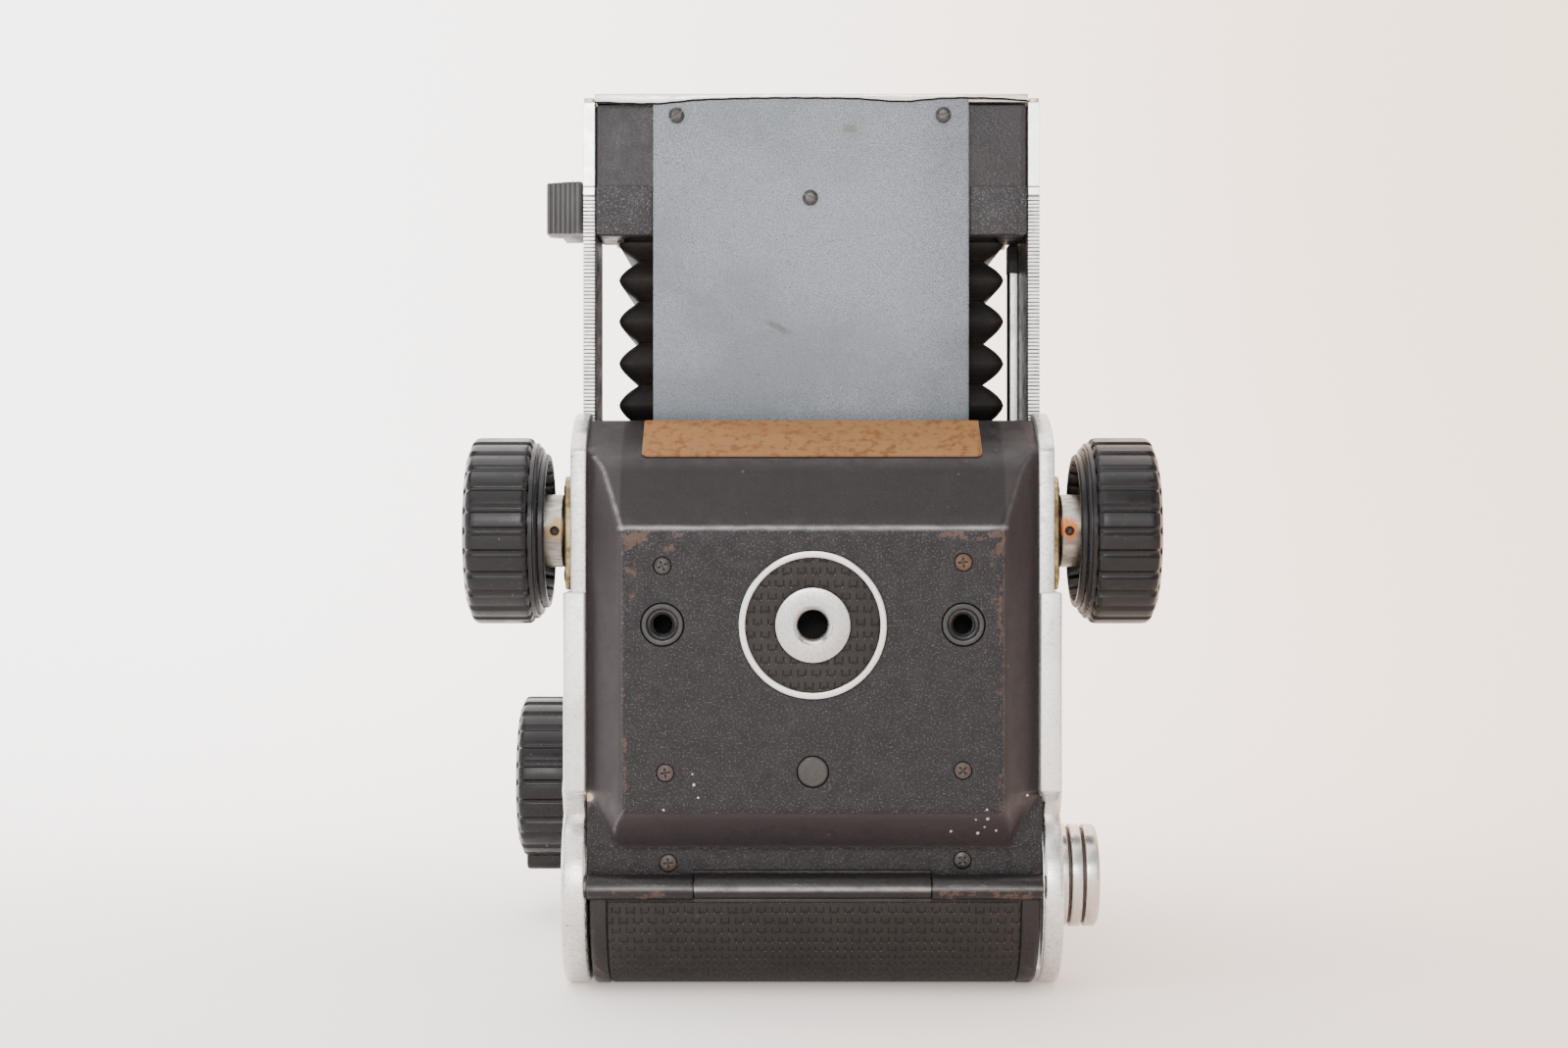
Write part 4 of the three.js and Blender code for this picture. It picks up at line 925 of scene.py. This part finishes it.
def sweep(stations, section):
    verts, faces, uv = [], [], []
    N = len(section)
    for cy_, cz_, ny, nz, s in stations:
        for x, r in section:
            verts.append((x, cy_ + ny * r, cz_ + nz * r))
            uv.append((x + 200, s + 100))
    for i in range(len(stations) - 1):
        for j in range(N):
            m = (j + 1) % N
            faces.append((i * N + j, i * N + m, (i + 1) * N + m, (i + 1) * N + j))
    faces.append(tuple(range(N)))
    faces.append(tuple((len(stations) - 1) * N + j for j in range(N))[::-1])
    return verts, faces, uv


sec = fillet([(-38.4, 15.4), (-38.4, 17.3), (-35.55, 17.3), (-35.3, 16.88), (35.85, 16.88), (36.1, 17.3), (39.2, 17.3), (39.2, 15.4)], [0.3, 0.9, 0.2, 0.1, 0.1, 0.2, 0.9, 0.3], 4)
v, f, uv = sweep(wrap_stations(), sec)
wear = [0.85 * math.exp(-((abs(p[0]) - 37.2) / 0.8) ** 2) + 0.25 * math.exp(-((abs(p[0]) - 35.8) / 0.3) ** 2) for p in v]
add("door_shell", v, f, MAT_DOOR, "door", rep="back_door", slot="black_paint", wear=wear, angle=32)
xs = [35.75, 35.6] + list(np.linspace(35.1, -34.6, 24)) + [-35.05, -35.2]
sec = [(-35.2, 16.84)] + [(x, 17.06 if i in (0, 27) else (17.18 if i in (1, 26) else 17.22)) for i, x in enumerate(xs[::-1])] + [(35.75, 16.84)]
v, f, uv = sweep(wrap_stations(183.0, 20.0, 40), sec)
add("door_leather_wrap", v, f, MAT_LEATHER, "door", rep="door_leather", slot="leatherette", uv=[(a, 500.0 - b * 1.154) for a, b in uv], angle=40)

HY, HZ = 5.0, 19.2
rim = lambda x0, x1, r: fillet([(1.0, x0), (r, x0), (r, x1), (1.0, x1)], [0, 0.35, 0.35, 0], 4, closed=False)
for k, nm in ((-1, "left"), (1, "right")):
    x0, x1 = sorted((k * 20.42, k * (38.7 if k < 0 else 39.6)))
    kv = lathe(rim(x0, x1, 2.2), 48, "x", (HY + 0.15, HZ - 0.2), closed=True)
    o = fillet([(5.6, 19.6), (6.6, 20.9), (8.9, 20.9), (8.9, 19.4), (6.4, 19.0)], 0.3, 3)
    web = slab(o, x0, x1, 0.2, "x", 2)
    vv, ff = join(kv, web)
    # painted highlight: a light line along each knuckle a little above its middle, with brown wear below it
    add(f"hinge_knuckle_{nm}", vv, ff, MAT_DOOR, "root", slot="black_paint", wear=[(0.72 if k < 0 else 0.95) * math.exp(-((p[2] - 17.9) / 1.1) ** 2) for p in vv], highlight_and_chip=[0.5 * math.exp(-((p[2] - 19.0) / 0.3) ** 2) * (p[1] < 5) for p in vv], angle=35)
kv = lathe(rim(-20.36, 20.36, 2.15), 64, "x", (HY, HZ - 0.05), closed=True)
o = fillet([(4.9, 16.2), (6.5, 16.2), (6.6, 19.0), (4.4, 19.0)], 0.3, 3)
web = slab(o, -20.35, 20.35, 0.2, "x", 2)
vv, ff = join(kv, web)
# painted highlight: a light line along the door's knuckle
add("hinge_knuckle_door", vv, ff, MAT_DOOR, "door", slot="black_paint", wear=[0.30] * len(vv), highlight_and_chip=[1.0 * math.exp(-((p[2] - 18.95) / 0.35) ** 2) * (p[1] < 5) for p in vv], angle=35)
# raised lip over the middle knuckle
o = fillet(rect(-20.5, 20.5, 21.0, 21.75), [0.2, 0.2, 0.3, 0.3], 4)
v, f = slab(o, 6.2, 7.3, 0.2, "y", 3)
add("hinge_lip", v, f, MAT_DOOR, "root", slot="black_paint", wear=[0.28] * len(v), angle=35)

# ------------------------------------------------------------------ knobs
def rib_wave(n, depth, lo, hi):
    def fr(r, a, t):
        if a < lo or a > hi:
            return 0.0
        u = (t * n / (2 * math.pi)) % 1.0
        dd = abs(u - 0.5) * 2          # 1 in the middle of the groove, 0 on the rib's crown
        crown = -0.10 * dd ** 2
        g = min(1.0, max(0.0, (dd - 0.62) / 0.16))
        return crown - depth * g * g * (3 - 2 * g)
    return fr


def knob(name, k, cy_, cz_, R, body, rep, collar=True):
    """Black moulded knob: flange, step, ribbed grip with rounded shoulders and a shallow dished end."""
    S = lambda a: k * a
    prof = [(2.15, 49.2), (11.9, 49.2), (12.3, 46.45), (12.5, 46.2), (13.3, 46.2)] if collar else [(2.0, 45.7), (13.6, 45.7)]
    prof += [(13.6, 46.5), (13.6, 47.2), (14.6, 47.35), (14.9, 47.7), (14.9, 48.0), (15.45, 48.1), (15.45, 48.75)]
    end = [(R - 0.9, 48.85), (R - 0.35, 49.05), (R - 0.1, 49.4), (R, 50.0)]
    mid = [(R, a) for a in np.linspace(50.8, 57.6, 6)]
    out = [(R, 58.3), (R - 0.1, 58.9), (R - 0.45, 59.35), (R - 1.0, 59.6), (R - 1.6, 59.75)]
    face = [(R - 2.2, 60.1), (R - 3.2, 60.15), (R - 3.8, 59.9), (9.0, 59.6), (5.0, 59.55), (0, 59.55)]
    seg = 26 * 14
    v, f = lathe([(0, prof[0][1])] + prof + end + mid + out + face, seg, "x", (cy_, cz_), fr=rib_wave(26, 0.50, 48.8, 59.8))
    v = [(p[0] * k, p[1], p[2]) for p in v]
    add(name, v, f, MAT_PLASTIC, body, rep=rep, slot="black_plastic", angle=42)


for k, nm in ((-1, "left"), (1, "right")):
    knob(f"focusing_knob_{nm}", k, FY, FZ, 16.35, "focus_drive", f"focus_knob_{nm}")
    prof = fillet([(2.1, 43.45), (6.1, 43.45), (6.4, 43.75), (6.4, 49.3), (2.1, 49.3)], [0, 0.2, 0.2, 0, 0], 3)
    v, f = lathe(prof, 72, "x", (FY, FZ), closed=True)
    v = [(p[0] * k, p[1], p[2]) for p in v]
    ob = add(f"knob_collar_{nm}", v, f, MAT_COLLAR, "focus_drive", slot="steel", angle=35)
    sx = k * 44.9
    boolean(ob, [cyl(0.85, 8, 14, "y", (sx, FZ), 28)], angle=35)
    v, f = lathe([(0, 13.0), (0.5, 12.75), (0.78, 12.8), (0.78, 13.9), (0, 13.9)], 24, "y", (sx, FZ))
    add(f"set_screw_{nm}", v, f, MAT_SCREW_BROWN, "focus_drive", slot="screw_steel", angle=35)
knob("winding_knob", -1, AY_, AZ_, 16.8, "advance", "advance_knob", collar=False)
# folded crank grip under the winding knob's rim, and the collar on its shaft
o = fillet([(AY_ - 3.2, 8.7), (AY_ + 3.2, 8.7), (AY_ + 3.2, 14), (AY_ - 3.2, 14)], [1.6, 1.6, 0, 0], 5)
v, f = slab(o, -59.0, -46.0, 0.7, "x", 4)
add("crank_grip", v, f, MAT_PLASTIC, "advance", slot="black_plastic", angle=35)
v, f = lathe([(0, 34.3), (2.0, 34.3), (2.0, 43.6), (7.0, 43.6), (7.0, 45.6), (0, 45.6)], 48, "x", (AY_, AZ_))
add("winding_shaft", [(-p[0], p[1], p[2]) for p in v], f, MAT_STEEL, "advance", slot="steel", angle=35)


def pull_knob(name, cy_, body, rep, R, cz_):
    v, f = lathe([(0, 29.3), (2.8, 29.3), (2.8, 44.0), (0, 44.0)], 48, "x", (cy_, EARZ))
    pts = [(0, 43.5), (R - 0.5, 43.5), (R, 43.75), (R, 44.9), (R - 0.2, 45.05), (R - 0.85, 45.1), (R - 0.85, 45.5), (R - 0.2, 45.55), (R, 45.7), (R, 47.35),
           (R - 0.2, 47.5), (R - 0.85, 47.55), (R - 0.85, 47.95), (R - 0.2, 48.0), (R, 48.15), (R, 49.9), (R - 0.35, 50.35), (R - 0.9, 50.5), (R - 2.6, 50.5), (R - 3.0, 50.2), (3.0, 50.1), (2.6, 50.3), (0, 50.35)]
    v2, f2 = lathe(fillet(pts, 0.16, 3, closed=False), 128, "x", (cy_, cz_))
    add(name, *join((v, f), (v2, f2)), MAT_CHROME, body, rep=rep, slot="polished_chrome", angle=30)
    rings = [lathe([(R - 1.2, a), (R - 0.62, a), (R - 0.62, a + 0.36), (R - 1.2, a + 0.36)], 96, "x", (cy_, cz_), closed=True) for a in (45.12, 47.57)]
    add(name + "_grooves", *join(*rings), MAT_SCREW_BROWN, body, slot="screw_steel", angle=35)


pull_knob("spool_knob_lower", EAR0, "supply_pull", "supply_pull_knob", 9.05, 18.9)
pull_knob("spool_knob_upper", EAR1, "take_up_pull", "take_up_pull_knob", 9.05, EARZ)

# ------------------------------------------------------------------ moving front standard
o = fillet(rect(-38.4, 38.4, 21.5, 144.0), 1.2, 5)
v, f = slab(o, 132.7, 156.1, 0.6, "z", 4)
ax = [abs(p[0]) for p in v]
wear = [0.25 * math.exp(-((p[2] - 132.8) / 0.4) ** 2) + 0.25 * math.exp(-((p[2] - 156) / 0.4) ** 2) for p in v]
ob = add("front_standard", v, f, MAT_STD, "standard", rep="lens_standard", slot="black_paint", wear=wear, angle=32)
boolean(ob, [slab(fillet(rect(-29, 29, 33, 92.5), 1.5, 4), 130, 160, 0, "z", 1), slab(fillet(rect(-24, 24, 97, 138), 1.5, 4), 130, 160, 0, "z", 1),
             cyl(0.95, -31, 31, "x", (60, 154.2), 20),
             slab(rect(33.9, 40, 37.5, 150), 130, 150.5, 0, "z", 1), slab(rect(-40, -33.9, 37.5, 150), 130, 150.5, 0, "z", 1)], angle=32)
# the lower apron of the standard is a separate rolled strip, slightly proud
for k, nm in ((-1, "left"), (1, "right")):
    x0, x1 = sorted((k * 28.3, k * 38.3))
    v, f = slab(fillet(rect(x0, x1, 132.9, 141.6), 0.35, 3), 21.3, 21.9, 0.14, "y", 3)
    add(f"standard_apron_{nm}", v, f, MAT_APRON, "standard", slot="black_paint", angle=32,
        wear=[0.35 * math.exp(-((p[2] - 141.6) / 0.25) ** 2) + 0.2 * math.exp(-((p[2] - 132.9) / 0.4) ** 2) for p in v])
    # small beige stops under the standard
    x0, x1 = sorted((k * 31.8, k * 35.2))
    v, f = slab(fillet([(x0, 131.6), (x1, 131.2), (x1, 132.6), (x0, 132.6)], 0.25, 3), 30.0, 33.0, 0.15, "y", 2)
    add(f"bellows_clip_{nm}", v, f, MAT_CAP, "standard", slot="steel", angle=35)
    # rail end caps
    v, f = slab(fillet(rect(*sorted((k * 38.75, k * 40.6)), 22.2, 36.8), 0.35, 3), 156.5, 157.35, 0.18, "z", 3)
    add(f"rail_cap_{nm}", v, f, MAT_CAP, "standard", slot="satin_aluminium", angle=35)


def front_plate():
    tx = [-38.6, -32.7, -27.5, -23.5, -20.6, -11.9, -4.9, 5.0, 9.0, 12.5, 16.8, 21.2, 24.7, 29.9, 35.1, 38.4]
    tz = [156.46, 156.2, 156.1, 156.5, 156.86, 157.12, 157.2, 157.15, 157.05, 156.7, 156.5, 157.0, 157.2, 157.2, 157.0, 156.6]
    xs = np.linspace(-38.5, 38.4, 150)
    wz = np.convolve(np.pad(np.interp(xs, tx, tz), 4, "edge"), np.ones(9) / 9, "valid") + 0.03 * np.sin(xs * 1.7)
    out = list(zip(xs, wz)) + [(38.45, 157.72), (38.2, 157.8)] + [(x, 157.8 - 0.05 * abs(math.sin(x * 0.13 + 0.4))) for x in np.linspace(37.5, -37.5, 60)] + [(-38.2, 157.78), (-38.5, 157.7)]
    v, f = slab(out, 20.2, 20.46, 0.08, "y", 2)
    add("front_plate_lip", v, f, MAT_ALU_LIP, "standard", slot="satin_aluminium", angle=32)
    # painted shadow: a thin matt black strip just under the lip's wavy edge stands in for the shadow in the gap
    shadow_line = [(x, z - 0.30) for x, z in zip(xs, wz)] + [(38.3, 157.6), (-38.3, 157.6)]
    v, f = slab(shadow_line, 20.44, 20.5, 0.0, "y", 1)
    add("front_plate_shadow_strip", v, f, MAT_INNER, "standard", slot="matt_black", angle=32)
    o = fillet(rect(-38.5, 38.5, 21.45, 144.4), 1.0, 4)
    v2, f2 = slab(o, 156.5, 157.78, 0.22, "z", 3)
    ob = add("lens_panel_seat", v2, f2, MAT_ALU_LIP, "standard", rep="front_plate", slot="satin_aluminium", angle=32)
    boolean(ob, [slab(fillet(rect(-31, 31, 31, 140), 2.0, 5), 150, 160, 0, "z", 1)], angle=32)


front_plate()

# bellows guard: thin hammertone plate with slotted screws
v, f = slab(fillet(rect(-28.15, 27.95, 66.0, 157.5), 0.8, 4), 20.5, 21.3, 0.12, "y", 3)
add("guard_plate", v, f, MAT_GUARD, "standard", rep="bellows_guard", slot="grey_hammertone", angle=32)
for i, (x, z, t) in enumerate([(-24.0, 153.95, 0.62), (23.4, 154.05, 0.15), (-0.25, 139.35, -0.5)]):
    slot_screw(f"guard_plate_screw_{i + 1}", x, 19.78, z, 1.38, t, MAT_SCREW, "standard", rep=f"guard_screw_{i + 1}")


def rail(k, nm):
    """Steel rail with a fine rack cut in its near edge."""
    P = 0.648
    pts = []
    i = 0
    while True:
        z = 58.5 + i * P
        if z > 139.5:
            break
        pts += [(22.35, z - 0.14), (21.85, z - 0.08), (21.85, z + P - 0.32), (22.35, z + P - 0.26)]
        i += 1
    zt = pts[-1][1] + 0.1
    pts += [(21.85, zt + 0.1)]
    for zz in (139.75, 141.5):
        if zz > zt + 0.3:
            pts += [(21.85, zz - 0.14), (22.2, zz - 0.1), (22.2, zz + 0.1), (21.85, zz + 0.14)]
    pts += [(21.8, 156.3), (22.0, 156.5), (36.8, 156.5), (37.0, 156.3), (37.0, 58.2), (36.8, 58.0), (22.35, 58.0)]
    v, f = slab(pts, k * 38.62, k * 40.68, 0.07, "x", 1)
    ob = add(f"rack_rail_{nm}", v, f, MAT_RAIL, "standard", rep=f"rail_{nm}", slot="satin_aluminium", angle=25)
    yl = 45.0 if k > 0 else 39.8
    v, f = slab(fillet([(22.4, 59.0), (yl, 59.0), (yl, 155.8), (22.4, 155.8)], 0.4, 3), k * 38.42, k * 38.7, 0.05, "x", 1)
    add(f"rail_lining_{nm}", v, f, MAT_DOOR, "standard", slot="matt_black", angle=35)


for k, nm in ((-1, "left"), (1, "right")):
    rail(k, nm)

# moving distance scale: bright bar with a dark edge strip and carrier
v, f = slab(fillet(rect(36.75, 38.28, 76.2, 128.2), 0.25, 3), 39.0, 42.8, 0.18, "y", 3)
ob = add("scale_strip", v, f, MAT_ALU, "standard", rep="scale_bar", slot="satin_aluminium", angle=32)
v, f = slab(fillet(rect(36.5, 36.78, 76.4, 128.0), 0.08, 2), 39.3, 42.6, 0.05, "y", 2)
add("scale_edge", v, f, MAT_INNER, "standard", slot="matt_black", angle=35)
v, f = slab(fillet(rect(36.45, 38.34, 127.6, 132.9), 0.3, 3), 38.9, 43.1, 0.2, "y", 3)
add("scale_carrier", v, f, MAT_STD, "standard", slot="black_paint", angle=35, wear=[0.2] * len(v))
ticks = [cuboid(38.22, 38.34, 39.6, 40.6 + (0.9 if i % 5 == 0 else 0), 80 + i * 2.0, 80.22 + i * 2.0) for i in range(23)]
v, f = join(*ticks)
add("scale_marks", v, f, MAT_INNER, "standard", slot="matt_black", angle=35)

# shutter release pad with moulded ribs, its web and link
ys = []
out = [(-41.25, 30.0), (-41.25, 28.0), (-41.55, 27.35)]
for i in range(7):
    x = -41.9 - i * 0.86
    out += [(x, 27.0), (x - 0.42, 26.98), (x - 0.56, 27.42), (x - 0.78, 27.42)]
out = [p for p in out if p[0] > -47.75]
out += [(-47.6, 27.5), (-47.75, 28.2), (-47.75, 33.8), (-47.1, 34.9), (-45.5, 35.6), (-45.5, 43.1), (-45.2, 43.3), (-38.9, 43.3), (-38.9, 41.6), (-41.25, 41.6)]
v, f = slab(out, 133.65, 143.05, 0.25, "z", 2)
v = [(p[0], p[1], p[2] + (0.25 * (p[0] + 44.4) / 3.3 if p[2] > 140 and p[1] < 36 else 0)) for p in v]
v = [(p[0], p[1], min(p[2], 143.1)) for p in v]
add("release_pad", v, f, MAT_PLASTIC_DULL, "release", rep="release_lever", slot="black_plastic", angle=30)

# ------------------------------------------------------------------ bellows: one piece per fold
def bellows():
    B = [84.0, 91.2, 98.9, 106.5, 114.0, 121.5, 128.7, 132.65]
    TIPS = [87.5, 95.1, 102.7, 110.2, 117.8, 125.2, 131.6]
    def ring(ins, z, n=9):
        x, ya, yb = 34.6 - ins, 24.3 + ins * 0.75, 138.0 - ins
        return fillet([(-x, ya), (x, ya), (x, yb), (-x, yb)], 2.2, 5), z
    rng = np.random.default_rng(7)
    for i in range(len(B) - 1):
        a, b, tip = B[i], B[i + 1], TIPS[i]
        prof = []
        top_part = i == len(B) - 2
        D = 3.5
        lower = [(0.0, a), (0.10, None), (0.5, None), (0.86, None), (0.97, None)]
        zs_in = []
        for u in np.linspace(0, 1, 9):                       # rising flank, slightly bellied, rounded at the tip
            zs_in.append((D * (1 - u) + -0.50 * math.sin(math.pi * u), a + (tip - a) * (u * 0.93 + 0.0)))
        zs_in[-1] = (0.10, tip - 0.28)
        zs_in.append((0.0, tip))
        up = []
        for u in np.linspace(0, 1, 9):
            up.append((D * u - 0.50 * math.sin(math.pi * u), tip + (b - tip) * (0.07 + 0.93 * u)))
        up[0] = (0.10, tip + 0.28)
        up[-1] = (D, b)
        if top_part:
            up = [(min(q, 0.9), z) for q, z in up]
        zs_in[0] = (D, a)
        prof = zs_in + up
        outer = [ring(q, z) for q, z in prof]
        inner = [ring(q + 0.8, z) for q, z in reversed(prof)]
        verts, faces, wear = [], [], []
        N = len(outer[0][0])
        for (pts, z), (q, _) in zip(outer + inner, prof + list(reversed(prof))):
            for (x, y) in pts:
                verts.append((x, y, z))
                wear.append(0.9 * max(0.0, (q - 1.9) / 1.6) + 0.35 * max(0.0, (0.35 - q) / 0.35))
        R = len(outer) * 2
        for r in range(R):
            for j in range(N):
                m = (j + 1) % N
                faces.append((r * N + j, r * N + m, ((r + 1) % R) * N + m, ((r + 1) % R) * N + j))
        ob = add(f"bellows_fold_{i + 1}", verts, faces, MAT_BELLOWS, None, slot="bellows_cloth", angle=50, wear=wear, ride=False)
        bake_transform(ob)
        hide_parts("bellows")


bellows()

# ------------------------------------------------------------------ hood, seen from the top
v, f = slab(fillet([(146.3, 36.2), (161.5, 36.2), (161.5, 98.0), (146.3, 98.0)], 0.8, 4), -36, 36, 0.9, "x", 4)
ob = add("hood_frame", v, f, MAT_PAINT, "root", rep="hood_base", slot="black_paint", angle=32)
boolean(ob, [slab(rect(-34, 34, 38.2, 96.0), 148.3, 170, 0, "y", 1), slab(rect(-29, 29, 39, 96.5), 140, 155, 0, "y", 1)], angle=32)
v, f = slab(fillet(rect(-36, 36, 36.4, 97.9), 2.0, 6), 163.2, 165.6, 0.6, "y", 4)
add("hood_cover", v, f, MAT_PAINT, "hood_top", rep="hood_lid", slot="black_paint", angle=32)
v, f = slab(fillet(rect(-32.5, 32.5, 40.0, 94.5), 2.0, 6), 165.55, 165.98, 0.2, "y", 3)
add("hood_cover_leather", v, f, MAT_LEATHER, "hood_top", slot="leatherette", uv=[(p[0] + 200, p[2] + 100) for p in v])
for k, nm in ((-1, "left"), (1, "right")):
    v, f = lathe([(0, k * 20), (0.55, k * 20), (0.55, k * 34), (0, k * 34)], 20, "x", (163.3, 98.0))
    add(f"hood_hinge_{nm}", v, f, MAT_STEEL, "root", slot="steel", angle=35)

# ------------------------------------------------------------------ CAD nodes that stay: a finish for each
KEEP = {
    "body_shell": MAT_INNER, "hinge_pin": MAT_STEEL, "viewing_mirror": MAT_MIRROR, "film_roller_lower": MAT_STEEL, "film_roller_upper": MAT_STEEL,
    "hood_back_flap": MAT_PAINT, "hood_side_flap_left": MAT_PAINT, "hood_side_flap_right": MAT_PAINT, "lens_bail": MAT_STEEL,
    "focus_shaft": MAT_STEEL, "pinion_left": MAT_STEEL, "pinion_right": MAT_STEEL, "advance_gear": MAT_BRASS, "take_up_drive": MAT_BRASS,
    "take_up_spool": MAT_PLASTIC, "pressure_plate": MAT_STEEL, "door_latch": MAT_STEEL,
}
for n, m in KEEP.items():
    me = NODES[n].data
    me.materials.clear()
    me.materials.append(m)
    smooth(me, 30)
g = Mat("ground_glass")
g.set(color=(0.70, 0.73, 0.71), rough=0.42, trans=0.25, ior=1.5, normal=g.bump(g.noise(3000, 2), 0.00002, 0.5))
me = NODES["focusing_screen"].data
me.materials.clear()
me.materials.append(g.m)
